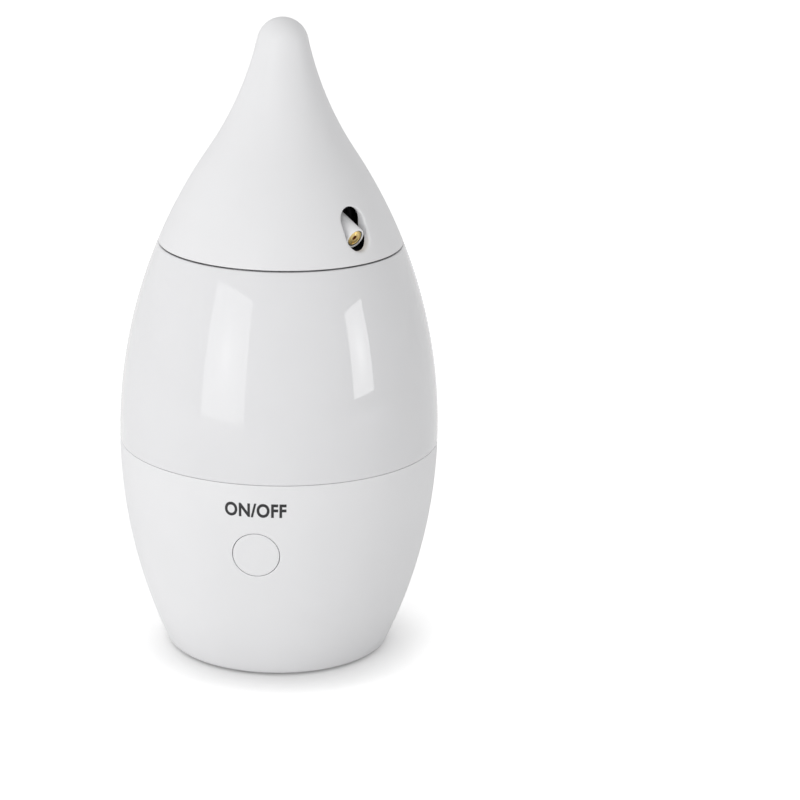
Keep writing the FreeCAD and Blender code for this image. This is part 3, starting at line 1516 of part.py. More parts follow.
def make_tilt_shaft():
    length = "shaft_depth + pinion_stand_off + tilt_pinion_width + shaft_end"
    return in_tilt_pinion(flat_shaft("tilt_shaft", length), "-(motor_face + shaft_depth)")


def make_tilt_pinion():
    half_tooth = 180 / size("tilt_pinion_teeth")
    blank = gear_blank("tilt_pinion_blank", "tilt_pinion_teeth", "tilt_pinion_width", half_tooth)
    bore = flat_shaft("tilt_pinion_bore", "tilt_pinion_width", "press_gap")
    return in_tilt_pinion(cut("tilt_pinion", blank, bore), "-tilt_pinion_width / 2")


def sector_blank(name):
    """Toothed sector behind the pivot, its middle tooth level when the laser stands at its middle tilt."""
    teeth = int(size("tilt_sector_teeth"))
    kept = int(size("sector_teeth_kept"))
    pitch = 2 * math.pi / teeth
    first = math.pi + math.radians(size("middle_tilt")) - pitch * (kept - 1) / 2
    edges, start, end = toothed_edges(teeth, kept, first)
    hub = size("barrel_back")
    low, high = (turn_point(Vector(hub, 0, 0), first + pitch * step) for step in (0, kept - 1))
    edges += [Part.LineSegment(end, high).toShape(), Part.LineSegment(high, Vector(0, 0, 0)).toShape()]
    edges += [Part.LineSegment(Vector(0, 0, 0), low).toShape(), Part.LineSegment(low, start).toShape()]
    made = doc.addObject("Part::Feature", name)
    made.Shape = Part.Face(Part.Wire(edges)).extrude(Vector(0, 0, size("sector_width")))
    return place(made, y="sector_width / 2", roll="90")


def make_laser_holder(number):
    """Tapered barrel, bored for the laser and across for its pin, with the sector on its tail."""
    name = f"laser_{number}_holder"
    nose = bind(doc.addObject("Part::Cone", f"{name}_nose"))
    bind(nose, Radius1="barrel_back", Radius2="barrel_front", Height="barrel_reach")
    place(nose, pitch="90")
    tail = cylinder(f"{name}_tail", "barrel_back", "barrel_tail", x="-barrel_tail", pitch="90")
    whole = fuse(f"{name}_whole", nose, tail, sector_blank(f"{name}_sector"))
    bore = cylinder(f"{name}_bore", "sleeve_radius + pilot_gap", "module_length", pitch="90")
    place(bore, x="barrel_reach - module_length", pitch="90")
    across = cylinder(f"{name}_across", "pin_radius + pilot_gap", "4 * barrel_back", roll="-90")
    place(across, y="-2 * barrel_back", roll="-90")
    return in_laser(cut(name, whole, fuse(f"{name}_bores", bore, across)), number)


def make_pivot_pin(number):
    """Steel pin through the barrel, which turns in the cradle's two cheeks."""
    half = "(cheek_place + cheek_thickness + pin_end)"
    rod = cylinder(f"laser_{number}_pin_rod", "pin_radius", f"2 * {half}", y=f"-{half}", roll="-90")
    return in_laser(group(f"laser_{number}_pivot_pin", rod), number)


def laser_tube(name, inner, outer, start, length):
    tool = cylinder(f"{name}_hole", inner, length, x=start, pitch="90")
    return cut(name, cylinder(f"{name}_rod", outer, length, x=start, pitch="90"), tool)


def make_laser_sleeve(number):
    start, length = "barrel_reach - module_length", "module_length - face_sink"
    made = laser_tube(f"laser_{number}_sleeve", "sleeve_bore", "sleeve_radius", start, length)
    return in_laser(made, number)


def make_laser_module(number):
    """Brass tube of the laser module, closed behind, with room in front for the lens nut."""
    name = f"laser_{number}_module"
    rod = cylinder(f"{name}_rod", "sleeve_bore - press_gap", "module_length - face_sink", pitch="90")
    place(rod, x="barrel_reach - module_length", pitch="90")
    room = cylinder(f"{name}_room", "sleeve_bore - sleeve_wall", "nut_length + lens_thickness", pitch="90")
    place(room, x="barrel_reach - face_sink - nut_length - lens_thickness", pitch="90")
    return in_laser(cut(name, rod, room), number)


def make_laser_nut(number):
    start = "barrel_reach - face_sink - nut_length"
    outer = "sleeve_bore - sleeve_wall - press_gap"
    made = laser_tube(f"laser_{number}_lens_nut", "aperture_radius", outer, start, "nut_length")
    return in_laser(made, number)


def make_laser_lens(number):
    disc = cylinder(f"laser_{number}_lens_disc", "sleeve_bore - sleeve_wall - press_gap", "lens_thickness")
    place(disc, x="barrel_reach - face_sink - nut_length - lens_thickness", pitch="90")
    return in_laser(group(f"laser_{number}_lens", disc), number)


# ---- build, test and write ----
parts = [
    make_lower_shell(),
    make_upper_shell(),
    make_bottom_cover(),
    make_rubber_feet(),
    make_base_screws(),
    make_body_screws(),
    make_battery_cells(),
    make_well_contacts(),
    make_springs("well_springs", False, "cell_floor + cell_length"),
    make_main_board(),
    make_board_parts(),
    make_board_screws(),
    make_switch_board(),
    make_push_switch(),
    make_motor_deck(),
    make_deck_screws(),
    make_spin_motor(),
    make_spin_motor_screws(),
    make_spindle_bush(),
    make_thrust_washer(),
    make_brush_holder(),
    make_holder_screws(),
    make_brushes(),
    make_power_button(),
    make_switch_plunger(),
    make_battery_door(),
    make_door_screw(),
    make_door_contacts(),
    make_springs("door_springs", True, "cell_floor"),
    make_spin_shaft(),
    make_spin_pinion(),
    make_turntable(),
    make_spin_gear(),
    make_gear_screws(),
    make_retaining_clip(),
    make_slip_ring_drum(),
    make_slip_ring_bands(),
    make_head_shell(),
    make_head_screws(),
    make_laser_cradle(),
    make_cradle_screws(),
    make_tilt_motor(),
    make_motor_strap(),
    make_strap_screws(),
    make_head_board(),
    make_head_board_screws(),
    make_tilt_shaft(),
    make_tilt_pinion(),
]
for laser in (1, 2):
    parts += [
        make_laser_holder(laser),
        make_pivot_pin(laser),
        make_laser_sleeve(laser),
        make_laser_module(laser),
        make_laser_nut(laser),
        make_laser_lens(laser),
    ]

doc.recompute()
for thing in doc.Objects:
    if {"Invalid", "Error"} & set(thing.State):
        raise RuntimeError(f"{thing.Name} did not build: {thing.State}")
for part in parts:
    if part.Shape.isNull() or not part.Shape.isValid():
        raise RuntimeError(f"{part.Name} has no valid shape")
os.makedirs("parts", exist_ok=True)
for part in parts:
    part.Label = part.Name
    part.Shape.exportStep(f"parts/{part.Name}.step")
print(len(parts), "sub-parts")
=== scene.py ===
"""Cat laser toy: the shells, lasers, finishes and studio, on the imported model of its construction."""

import json
import math

import bmesh
import bpy
from bpy.props import FloatProperty, FloatVectorProperty, IntProperty, PointerProperty, StringProperty
from mathutils import Matrix, Vector


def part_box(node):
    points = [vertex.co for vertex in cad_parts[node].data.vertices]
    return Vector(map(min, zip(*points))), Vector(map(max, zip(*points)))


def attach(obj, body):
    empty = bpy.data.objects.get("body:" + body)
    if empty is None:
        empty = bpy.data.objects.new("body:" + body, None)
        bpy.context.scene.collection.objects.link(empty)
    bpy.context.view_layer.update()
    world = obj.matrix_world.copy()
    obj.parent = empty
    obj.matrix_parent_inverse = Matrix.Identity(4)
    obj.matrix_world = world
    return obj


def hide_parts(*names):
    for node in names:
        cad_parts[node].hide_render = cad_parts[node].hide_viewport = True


bl_info = {
    "name": "Cat Laser Toy",
    "version": (1, 0, 0),
    "blender": (4, 5, 0),
    "location": "View3D > Sidebar > Laser Toy",
    "description": "Builds the shells, lasers, finishes and studio of a rotating cat laser toy",
    "category": "Object",
}

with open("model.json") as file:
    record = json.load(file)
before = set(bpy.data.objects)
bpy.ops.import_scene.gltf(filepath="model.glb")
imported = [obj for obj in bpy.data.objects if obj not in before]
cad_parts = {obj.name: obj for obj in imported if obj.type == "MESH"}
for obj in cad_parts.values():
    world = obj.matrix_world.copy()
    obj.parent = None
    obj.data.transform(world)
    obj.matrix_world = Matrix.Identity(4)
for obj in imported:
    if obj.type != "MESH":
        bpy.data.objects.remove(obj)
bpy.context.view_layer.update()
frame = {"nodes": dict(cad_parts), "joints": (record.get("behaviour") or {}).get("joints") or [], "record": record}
JOINTS = {joint["name"]: joint for joint in frame["joints"]}
SLOTS = {entry["node"]: entry["material_slot"] for entry in frame["record"]["subparts"]}
MM = 0.001
FRONT = -math.pi / 2  # direction of the button, round from +X
DIAGONAL = math.radians(45)
SHARP_EDGE = math.radians(32)  # faces that meet at a wider angle keep a crisp edge
LUG_INSET = 4.5 * MM  # from the tongue's outside in to the middle of a body screw's lug
WHITE = (1.0, 1.0, 1.0, 1.0)


def lowest(node):
    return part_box(node)[0]


def highest(node):
    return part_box(node)[1]


# ---- settings ----
def length(name, description, default):
    return FloatProperty(name=name, description=description, default=default, unit="LENGTH", precision=5)


def share(name, description, default):
    return FloatProperty(
        name=name, description=description, default=default, min=0.0, max=1.0, subtype="FACTOR"
    )


def angle(name, description, degrees):
    return FloatProperty(name=name, description=description, default=math.radians(degrees), subtype="ANGLE")


def watts(name, description, default):
    return FloatProperty(name=name, description=description, default=default, min=0.0, unit="POWER")


def colour(name, description, default):
    return FloatVectorProperty(
        name=name, description=description, default=default, size=3, min=0.0, max=1.0, subtype="COLOR"
    )


class ToySizes(bpy.types.PropertyGroup):
    """Sizes of the toy's outside form and of its visible pieces."""

    body_radius: length("Body radius", "Radius at the belly", 55.0 * MM)
    belly_height: length("Belly height", "Height of the widest place", 76.3 * MM)
    lower_arc: length("Lower arc", "Radius of the outline below the belly", 182.4 * MM)
    upper_arc: length("Upper arc", "Radius of the outline above the belly", 176.5 * MM)
    neck_arc: length("Neck arc", "Radius of the hollow outline under the tip", 113.3 * MM)
    tip_radius: length("Tip radius", "Radius of the round tip", 8.7 * MM)
    total_height: length("Total height", "Height of the tip", highest("head_shell").z)
    rim_height: length("Rim height", "Lowest edge of the lower shell", lowest("lower_shell").z)
    body_seam: length("Body seam", "Lower edge of the upper shell", lowest("upper_shell").z)
    seam_gap: length("Seam gap", "Hairline gap between the body shells", 0.16 * MM)
    tongue_top: length("Tongue top", "Top of the lower shell's tongue", highest("lower_shell").z)
    tongue_radius: length("Tongue radius", "Outer radius of the lower shell's tongue", 52.47 * MM)
    tongue_wall: length("Tongue wall", "Wall of the tongue", 1.4 * MM)
    ledge_radius: length("Ledge radius", "Inner radius of the ledge over the bottom cover", 33.04 * MM)
    ledge_thickness: length("Ledge thickness", "Thickness of that ledge", 2.0 * MM)
    cover_top: length("Cover top", "Height of the ledge's underside", 4.0 * MM)
    roof_radius: length("Roof opening", "Radius of the opening in the upper shell's roof", 30.0 * MM)
    roof_thickness: length("Roof thickness", "Thickness of the upper shell's roof", 2.0 * MM)
    groove_lip: length("Groove lip", "Lip outside the groove in that roof, under the head's edge", 0.7 * MM)
    groove_width: length("Groove width", "Width of that groove", 4.8 * MM)
    groove_depth: length("Groove depth", "Depth of that groove", 1.2 * MM)
    body_top: length("Body top", "Upper edge of the upper shell", highest("upper_shell").z)
    head_bottom: length("Head bottom", "Lower edge of the head", lowest("head_shell").z)
    body_wall: length("Body wall", "Wall of the body shells", 2.4 * MM)
    head_wall: length("Head wall", "Wall of the head", 2.2 * MM)
    seam_round: length("Seam rounding", "Rounding of the edges at the hairline seam", 0.15 * MM)
    edge_round: length("Edge rounding", "Rounding of the edges at the turning gap", 0.4 * MM)
    rim_round: length("Rim rounding", "Rounding of the lowest edge", 0.9 * MM)
    columns: IntProperty(name="Columns", description="Columns of faces round a shell", default=288, min=48)
    row_step: length("Row step", "Height of a row of faces", 1.0 * MM)
    window_width: length("Window width", "Width of a laser window", 9.8 * MM)
    window_low: length("Window bottom", "Lowest point of a laser window", 147.31 * MM)
    window_high: length("Window top", "Highest point of a laser window", 161.3 * MM)
    window_round: length("Window rounding", "Rounding of a window's outer edge", 1.0 * MM)
    window_depth: length("Window depth", "Inner end of a window's hood, from the axis", 32.4 * MM)
    button_height: length("Button height", "Height of the power button's middle", 49.1 * MM)
    button_radius: length("Button radius", "Radius of the power button", 7.8 * MM)
    button_gap: length("Button gap", "Gap round the power button", 0.2 * MM)
    button_round: length("Button rounding", "Rounding of the button's edge", 0.3 * MM)
    guide_end: length("Guide end", "Inner end of the button's guide, from the axis", 46.1 * MM)
    barrel_front: length("Barrel front", "Radius of a laser barrel at its mouth", 3.6 * MM)
    barrel_back: length("Barrel back", "Radius of a laser barrel at its pivot", 4.3 * MM)
    barrel_reach: length("Barrel reach", "From a laser's pivot to its mouth", 14.995 * MM)
    barrel_tail: length("Barrel tail", "From a laser's pivot to its back end", 5.0 * MM)
    module_length: length("Module length", "Depth of a barrel's bore", 13.395 * MM)
    first_tilt: angle("First tilt", "How far laser 1 points down at rest", 22.0)
    second_tilt: angle("Second tilt", "How far laser 2 points down at rest", 4.0)
    foot_radius: length("Foot radius", "Radius of a rubber foot", 3.9 * MM)
    screw_head: length("Screw head", "Radius of a screw's head", 2.8 * MM)
    screw_head_height: length("Screw head height", "Height of a screw's head", 1.6 * MM)
    screw_shank: length("Screw shank", "Radius of a screw's shank", 1.25 * MM)
    mark_height: length("Mark height", "Height of the printed mark's middle", 65.3 * MM)
    mark_width: length("Mark width", "Width of the printed mark", 20.6 * MM)
    mark_stretch: FloatProperty(name="Mark stretch", description="Height of its narrow letters", default=1.2)
    mark_text: StringProperty(name="Mark", description="Words printed above the button", default="ON/OFF")


class ToyColours(bpy.types.PropertyGroup):
    """Colours of the toy's finishes."""

    satin_white: colour("Satin white", "Head, lower shell and button", (0.81, 0.81, 0.82))
    gloss_white: colour("Gloss white", "Upper shell", (0.77, 0.77, 0.782))
    cover_white: colour("Cover white", "Bottom cover and battery door", (0.74, 0.74, 0.74))
    barrel_white: colour("Barrel white", "Laser barrels", (0.90, 0.90, 0.91))
    inner_black: colour("Inner black", "Plastic inside the toy", (0.012, 0.011, 0.013))
    foot_grey: colour("Foot grey", "Rubber feet", (0.03, 0.03, 0.032))
    brass: colour("Brass", "Contacts and slip ring", (0.80, 0.60, 0.24))
    laser_brass: colour("Laser brass", "Laser modules and lens nuts", (0.86, 0.67, 0.30))
    ink: colour("Ink", "Printed mark", (0.012, 0.012, 0.014))
    beam_red: colour("Beam red", "Light in a laser's hole", (1.0, 0.03, 0.01))


class StudioSettings(bpy.types.PropertyGroup):
    """Camera, lamps and floor."""

    camera_distance: length("Camera distance", "From the toy's axis, level with the floor", 889.14 * MM)
    camera_height: length("Camera height", "Above the floor", 367.39 * MM)
    camera_side: angle("Camera side", "How far the camera stands round from the button", 8.1)
    camera_yaw: angle("Camera yaw", "Turn of the camera away from the toy's axis", 2.684)
    camera_pitch: angle("Camera pitch", "How far the camera looks down", 17.480)
    camera_roll: angle("Camera roll", "Lean of the camera", 1.305)
    camera_lens: FloatProperty(name="Camera lens", description="Focal length", default=121.15, unit="CAMERA")
    sky_high: FloatProperty(name="Sky high", description="Soft light from the upper left", default=1.0)
    sky_low: FloatProperty(name="Sky low", description="Soft light from the lower right", default=0.07)
    floor_white: share("Floor white", "How pale the floor is", 0.90)
    floor_glow: share("Floor glow", "White that the floor adds where the camera sees it", 0.53)
    mirrored_glow: share("Mirrored glow", "Part of that white that shows in reflections", 0.6)
    # The contact settings shape a painted shadow, which darkens the floor's colour and glow round the base.
    contact_reach: length("Contact reach", "How far the soft shadow round the base reaches", 20 * MM)
    contact_lean: angle("Contact lean", "How far that shadow is drawn to the front", 50.0)
    contact_shade: share("Contact shade", "How pale the paper stays in that shadow", 0.75)
    box_distance: length("Box distance", "From the toy to each softbox", 900 * MM)
    box_aim: length("Box aim", "Height at which the softboxes aim", 117 * MM)
    box_edge: FloatProperty(name="Box edge", description="Glow of a softbox's edge", default=0.95)
    box_middle: FloatProperty(name="Box middle", description="Glow of a softbox's middle", default=1.8)
    left_power: watts("Left power", "Power of the wide softbox", 1.9)
    left_side: angle("Left side", "Direction of the wide softbox, round from the button", -32.0)
    left_rise: angle("Left rise", "Height of the wide softbox, as an angle", 7.9)
    left_width: length("Left width", "Width of the wide softbox", 520 * MM)
    left_height: length("Left height", "Height of the wide softbox", 485 * MM)
    right_power: watts("Right power", "Power of the narrow softbox", 1.25)
    right_side: angle("Right side", "Direction of the narrow softbox, round from the button", 70.0)
    right_rise: angle("Right rise", "Height of the narrow softbox, as an angle", 6.2)
    right_width: length("Right width", "Width of the narrow softbox", 270 * MM)
    right_height: length("Right height", "Height of the narrow softbox", 310 * MM)


# ---- outline of the toy ----
class Outline:
    """The outside as a turned outline: two long arcs meet at the belly, a hollow arc runs into the tip."""

    def __init__(self, sizes):
        self.belly = sizes.belly_height
        self.lower = (sizes.body_radius - sizes.lower_arc, sizes.lower_arc)
        self.upper = (sizes.body_radius - sizes.upper_arc, sizes.upper_arc)
        self.neck_arc = sizes.neck_arc
        self.tip_radius = sizes.tip_radius
        self.tip_middle = sizes.total_height - sizes.tip_radius
        self.neck_reach = sizes.upper_arc + sizes.neck_arc
        self.tip_reach = sizes.tip_radius + sizes.neck_arc
        rise = self.tip_middle - self.belly
        span = math.hypot(self.upper[0], rise)
        along = (self.neck_reach**2 - self.tip_reach**2 + span**2) / (2 * span)
        aside = math.sqrt(self.neck_reach**2 - along**2)
        self.neck_radius = self.upper[0] + (rise * aside - self.upper[0] * along) / span
        self.neck_height = self.belly + (rise * along + self.upper[0] * aside) / span

    def shoulder(self, inset=0.0):
        """Height where the upper arc runs into the hollow neck."""
        return self.belly + (self.neck_height - self.belly) * (self.upper[1] - inset) / self.neck_reach

    def throat(self, inset=0.0):
        """Height where the hollow neck runs into the tip."""
        run = (self.neck_height - self.tip_middle) * (self.tip_radius - inset)
        return self.tip_middle + run / self.tip_reach

    def radius(self, height, inset=0.0):
        """Radius at a height, of the outside or of a wall's inner side."""
        if height <= self.shoulder(inset):
            centre, arc = self.lower if height < self.belly else self.upper
            return centre + math.sqrt((arc - inset) ** 2 - (height - self.belly) ** 2)
        arc = self.neck_arc + inset
        return self.neck_radius - math.sqrt(arc**2 - (height - self.neck_height) ** 2)

    def rows(self, heights, inset=0.0):
        return [(self.radius(height, inset), height) for height in heights]

    def low_edge(self, height, soft):
        """Soft corner from a level edge up into the outside."""
        radius, above = self.radius(height), height + soft
        return bend((radius - soft, height), (radius, height), (self.radius(above), above))

    def high_edge(self, height, soft):
        """Soft corner from the outside into the level edge above it."""
        radius, below = self.radius(height), height - soft
        return bend((self.radius(below), below), (radius, height), (radius - soft, height))

    def tip_rows(self, inset=0.0):
        """Rows over the round tip, up to just short of the axis."""
        count = 14
        arc = self.tip_radius - inset
        start = math.asin((self.throat(inset) - self.tip_middle) / arc)
        turns = [start + (math.pi / 2 - start) * number / count for number in range(count)]
        return [(arc * math.cos(turn), self.tip_middle + arc * math.sin(turn)) for turn in turns]


def levels(low, high, step):
    """Evenly spaced heights, both ends included."""
    count = max(1, round((high - low) / step))
    return [low + (high - low) * number / count for number in range(count + 1)]


def bend(start, corner, end, steps=4):
    """Points along a soft corner, both ends included."""
    points = []
    for number in range(steps + 1):
        t = number / steps
        weights = ((1 - t) ** 2, 2 * t * (1 - t), t**2)
        points.append(tuple(sum(w * c for w, c in zip(weights, axis)) for axis in zip(start, corner, end)))
    return points


# ---- meshes ----
def finish_mesh(name, mesh, body, slot):
    """Object with closed, outward faces and soft shading, on its body and with its slot's finish."""
    bmesh.ops.remove_doubles(mesh, verts=mesh.verts, dist=1e-7)
    bmesh.ops.recalc_face_normals(mesh, faces=mesh.faces)
    data = bpy.data.meshes.new(name)
    mesh.to_mesh(data)
    mesh.free()
    data.polygons.foreach_set("use_smooth", [True] * len(data.polygons))
    data.set_sharp_from_angle(angle=SHARP_EDGE)
    data.materials.append(bpy.data.materials[slot])
    piece = bpy.data.objects.new(name, data)
    bpy.context.scene.collection.objects.link(piece)
    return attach(piece, body)


def add_piece(name, mesh, body, *nodes):
    """Finished piece that takes the place of these construction pieces, and their slot."""
    piece = finish_mesh(name, mesh, body, SLOTS[nodes[0]])
    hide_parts(*nodes)
    return piece


def join_rings(mesh, first, second):
    """Faces between two closed rings of as many vertices."""
    for number in range(len(first)):
        after = (number + 1) % len(first)
        mesh.faces.new([first[number], first[after], second[after], second[number]])


def close_ring(mesh, ring, spot):
    """Fan of faces from a ring to a point."""
    pole = mesh.verts.new(spot)
    for number, vertex in enumerate(ring):
        mesh.faces.new([pole, vertex, ring[(number + 1) % len(ring)]])


def turned_rings(mesh, rows, columns, start=0.0, place=Matrix()):
    """Rings of vertices about Z for rows of (radius, height)."""
    turns = [start + 2 * math.pi * column / columns for column in range(columns)]
    rings = []
    for radius, height in rows:
        spots = [Vector((radius * math.cos(turn), radius * math.sin(turn), height)) for turn in turns]
        rings.append([mesh.verts.new(place @ spot) for spot in spots])
    return rings


def lathe(mesh, profile, columns, place):
    """Turned solid whose profile starts and ends on the axis."""
    rings = turned_rings(mesh, profile[1:-1], columns, place=place)
    for first, second in zip(rings, rings[1:]):
        join_rings(mesh, first, second)
    close_ring(mesh, rings[0], place @ Vector((0, 0, profile[0][1])))
    close_ring(mesh, rings[-1], place @ Vector((0, 0, profile[-1][1])))


def lathe_loop(mesh, profile, columns, place=Matrix()):
    """Turned ring whose profile is a closed loop that stays off the axis."""
    rings = turned_rings(mesh, profile, columns, place=place)
    for first, second in zip(rings, rings[1:] + rings[:1]):
        join_rings(mesh, first, second)


def add_posts(mesh, spots, low, high, outer, bore):
    """Tubes that stand up for screws."""
    profile = [(outer, low), (outer, high), (bore, high), (bore, low)]
    for x, y in spots:
        lathe_loop(mesh, profile, 32, Matrix.Translation((x, y, 0)))


def on_ring(radius, start=0.0, count=4):
    turns = [start + 2 * math.pi * number / count for number in range(count)]
    return [(radius * math.cos(turn), radius * math.sin(turn)) for turn in turns]


# ---- shells and what opens in them ----
class Facing:
    """Flat view of a turned wall along one level direction: points are (side, height)."""

    def __init__(self, turn):
        self.turn = turn
        self.outward = Vector((math.cos(turn), math.sin(turn), 0))
        self.lateral = Vector((-math.sin(turn), math.cos(turn), 0))

    def flat(self, vertex):
        return Vector((vertex.co.dot(self.lateral), vertex.co.z))

    def spot(self, flat, reach):
        """Point in space of a flat point, at a reach from the axis."""
        return self.outward * reach + self.lateral * flat.x + Vector((0, 0, flat.y))

    def on_wall(self, flat, radius_at):
        """Reach of a flat point on a turned wall."""
        return math.sqrt(radius_at(flat.y) ** 2 - flat.x**2)


class Opening(Facing):
    """Round-ended opening cut straight through a turned wall, with a soft lip and a collar inside.

    The collar runs in to collar_end. Below bare_under there is only the wall, with a low rim inside."""

    low_rim = 0.15 * MM
    collar_rise = 3.0 * MM

    def __init__(self, turn, low, high, half_width, soft, margin, collar_end, collar_wall, bare_under=0.0):
        super().__init__(turn)
        self.half_width = half_width
        self.core = (low + half_width, high - half_width)
        self.patch = (low - margin, high + margin, half_width + margin)
        self.soft = soft
        self.collar_end = collar_end
        self.collar_wall = collar_wall
        self.bare_under = bare_under

    def edge(self, flat):
        """Nearest point of the opening's edge, and the direction away from the opening there."""
        core = Vector((0, min(max(flat.y, self.core[0]), self.core[1])))
        away = (flat - core).normalized()
        return core + away * self.half_width, away

    def columns_across(self, rows, columns, start):
        """Columns of the patch that is left free for this opening."""
        low, high, side = self.patch
        nearest = min(radius for radius, height in rows if low <= height <= high)
        pitch = 2 * math.pi / columns
        spread = math.ceil(math.asin(side / nearest) / pitch)
        middle = round((self.turn - start) / pitch)
        return [(middle + step) % columns for step in range(-spread, spread + 1)]

    def free_patch(self, grid, rows, across):
        """Border of the free patch, and its cells."""
        low, high, _ = self.patch
        inside = [number for number, (_, height) in enumerate(rows) if low <= height <= high]
        border = [grid[inside[0]][column] for column in across]
        border += [grid[level][across[-1]] for level in inside[1:]]
        border += [grid[inside[-1]][column] for column in across[-2::-1]]
        border += [grid[level][across[0]] for level in inside[-2:0:-1]]
        return border, {(level, column) for level in inside[:-1] for column in across[:-1]}

    def wall_ring(self, mesh, border, radius_at, offset, part):
        """Ring on a wall, part of the way from the opening's edge, moved out by an offset, to the border."""
        ring = []
        for vertex in border:
            flat = self.flat(vertex)
            edge, away = self.edge(flat)
            begin = edge + away * offset
            point = begin + (flat - begin) * part
            ring.append(mesh.verts.new(self.spot(point, self.on_wall(point, radius_at))))
        return ring

    def lip_rings(self, mesh, border, radius_at):
        """Rings over the soft lip, from the outer wall to the opening's straight side."""
        steps = 5
        rings = [[] for _ in range(steps)]
        for vertex in border:
            edge, away = self.edge(self.flat(vertex))
            begin = edge + away * self.soft
            start = self.spot(begin, self.on_wall(begin, radius_at))
            corner = self.spot(edge, self.on_wall(edge, radius_at))
            for ring, point in zip(rings, bend(start, corner, corner - self.outward * self.soft, steps)[1:]):
                ring.append(mesh.verts.new(point))
        return rings

    def collar_ring(self, mesh, border, offset, inner_radius):
        """Ring at the collar's inner end, which sinks to the low rim where the wall is bare."""
        ring = []
        for vertex in border:
            edge, away = self.edge(self.flat(vertex))
            rim = self.on_wall(edge + away * self.collar_wall, inner_radius) - self.low_rim
            grown = min(max((edge.y - self.bare_under) / self.collar_rise, 0.0), 1.0)
            reach = rim + (self.collar_end - rim) * grown
            ring.append(mesh.verts.new(self.spot(edge + away * offset, reach)))
        return ring

    def fill(self, mesh, outside, inside, outer_radius, inner_radius):
        """Wall between the free patch's outer and inner border."""
        parts = (0.6, 0.3, 0.1, 0.0)
        rings = [outside]
        rings += [self.wall_ring(mesh, outside, outer_radius, self.soft, part) for part in parts]
        rings += self.lip_rings(mesh, outside, outer_radius)
        rings += [self.collar_ring(mesh, outside, offset, inner_radius) for offset in (0.0, self.collar_wall)]
        rings += [self.wall_ring(mesh, inside, inner_radius, self.collar_wall, part) for part in (0.0, 0.4)]
        rings.append(inside)
        for first, second in zip(rings, rings[1:]):
            join_rings(mesh, first, second)


def pierced_shell(mesh, outline, wall, outer, inner, columns, start, openings):
    """Turned wall with openings. Outer and inner rows both run upward, and their first rows are joined."""
    outer_grid = turned_rings(mesh, outer, columns, start)
    inner_grid = turned_rings(mesh, inner, columns, start)
    free = {"outer": set(), "inner": set()}
    for opening in openings:
        across = opening.columns_across(inner, columns, start)
        outside, cells = opening.free_patch(outer_grid, outer, across)
        free["outer"] |= cells
        inside, cells = opening.free_patch(inner_grid, inner, across)
        free["inner"] |= cells
        opening.fill(mesh, outside, inside, outline.radius, lambda height: outline.radius(height, wall))
    for side, grid in (("outer", outer_grid), ("inner", inner_grid)):
        for level, (first, second) in enumerate(zip(grid, grid[1:])):
            for column in range(columns):
                beside = (column + 1) % columns
                if (level, column) not in free[side]:
                    mesh.faces.new([first[column], first[beside], second[beside], second[column]])
    join_rings(mesh, outer_grid[0], inner_grid[0])
    return outer_grid[-1], inner_grid[-1]


# ---- finishes ----
def add_node(tree, kind, inputs, **options):
    """Shader node whose inputs, by name or number, are values or the outputs of other nodes."""
    node = tree.nodes.new(f"ShaderNode{kind}")
    for name, value in options.items():
        setattr(node, name, value)
    for key, value in inputs.items():
        if isinstance(value, bpy.types.NodeSocket):
            tree.links.new(value, node.inputs[key])
        else:
            node.inputs[key].default_value = value
    return node


class Finish:
    """Material that is built up by plain calls. It takes the place of the frame's plain one."""

    def __init__(self, name):
        plain = bpy.data.materials.get(name)
        if plain:
            bpy.data.materials.remove(plain)
        self.material = bpy.data.materials.new(name)
        self.material.use_nodes = True
        self.tree = self.material.node_tree
        self.shader = self.tree.nodes["Principled BSDF"]
        self.place = self.add("TexCoord", {}).outputs["Object"]

    def add(self, kind, inputs, **options):
        return add_node(self.tree, kind, inputs, **options)

    def set(self, **values):
        """Sets the shader's inputs to values that are the same all over."""
        for name, value in values.items():
            socket = self.shader.inputs[name.replace("_", " ")]
            socket.default_value = (*value, 1.0) if socket.type == "RGBA" else value
        return self

    def drive(self, name, value):
        """Links one of the shader's inputs to a node's output."""
        self.tree.links.new(value, self.shader.inputs[name])
        return self

    def noise(self, grain, detail, stretch=(1.0, 1.0, 1.0)):
        """Noise whose grain is a length in metres."""
        scale = [side / grain for side in stretch]
        place = self.add("Mapping", {"Vector": self.place, "Scale": scale}).outputs["Vector"]
        return self.add("TexNoise", {"Vector": place, "Scale": 1.0, "Detail": detail}).outputs["Fac"]

    def ramp(self, value, stops):
        """Colours or greys along a value."""
        made = self.add("ValToRGB", {"Fac": value})
        elements = made.color_ramp.elements
        while len(elements) < len(stops):
            elements.new(0.5)
        for element, (position, tone) in zip(elements, stops):
            element.position = position
            element.color = (*tone, 1.0) if hasattr(tone, "__len__") else (tone, tone, tone, 1.0)
        return made.outputs["Color"]

    def vary_colour(self, value, tone, change):
        """The tone a little darker and lighter along a value."""
        dark = tuple(part * (1 - change) for part in tone)
        light = tuple(min(1.0, part * (1 + change)) for part in tone)
        return self.drive("Base Color", self.ramp(value, [(0.35, dark), (0.65, light)]))

    def vary_roughness(self, value, low, high):
        return self.drive("Roughness", self.ramp(value, [(0.3, low), (0.7, high)]))

    def bump(self, value, depth, strength):
        """Relief of a depth in metres."""
        made = self.add("Bump", {"Height": value, "Distance": depth, "Strength": strength})
        return self.drive("Normal", made.outputs["Normal"])


def satin_plastic(name, tone, roughness=0.42, grain=0.00022, depth=0.000006):
    """Moulded plastic with a fine spark-eroded texture, and a faint unevenness of tone and sheen."""
    finish = Finish(name)
    finish.vary_colour(finish.noise(0.018, 2.0), tone, 0.006)
    finish.vary_roughness(finish.noise(0.006, 2.0), roughness - 0.03, roughness + 0.04)
    return finish.bump(finish.noise(grain, 2.0), depth, 0.5)


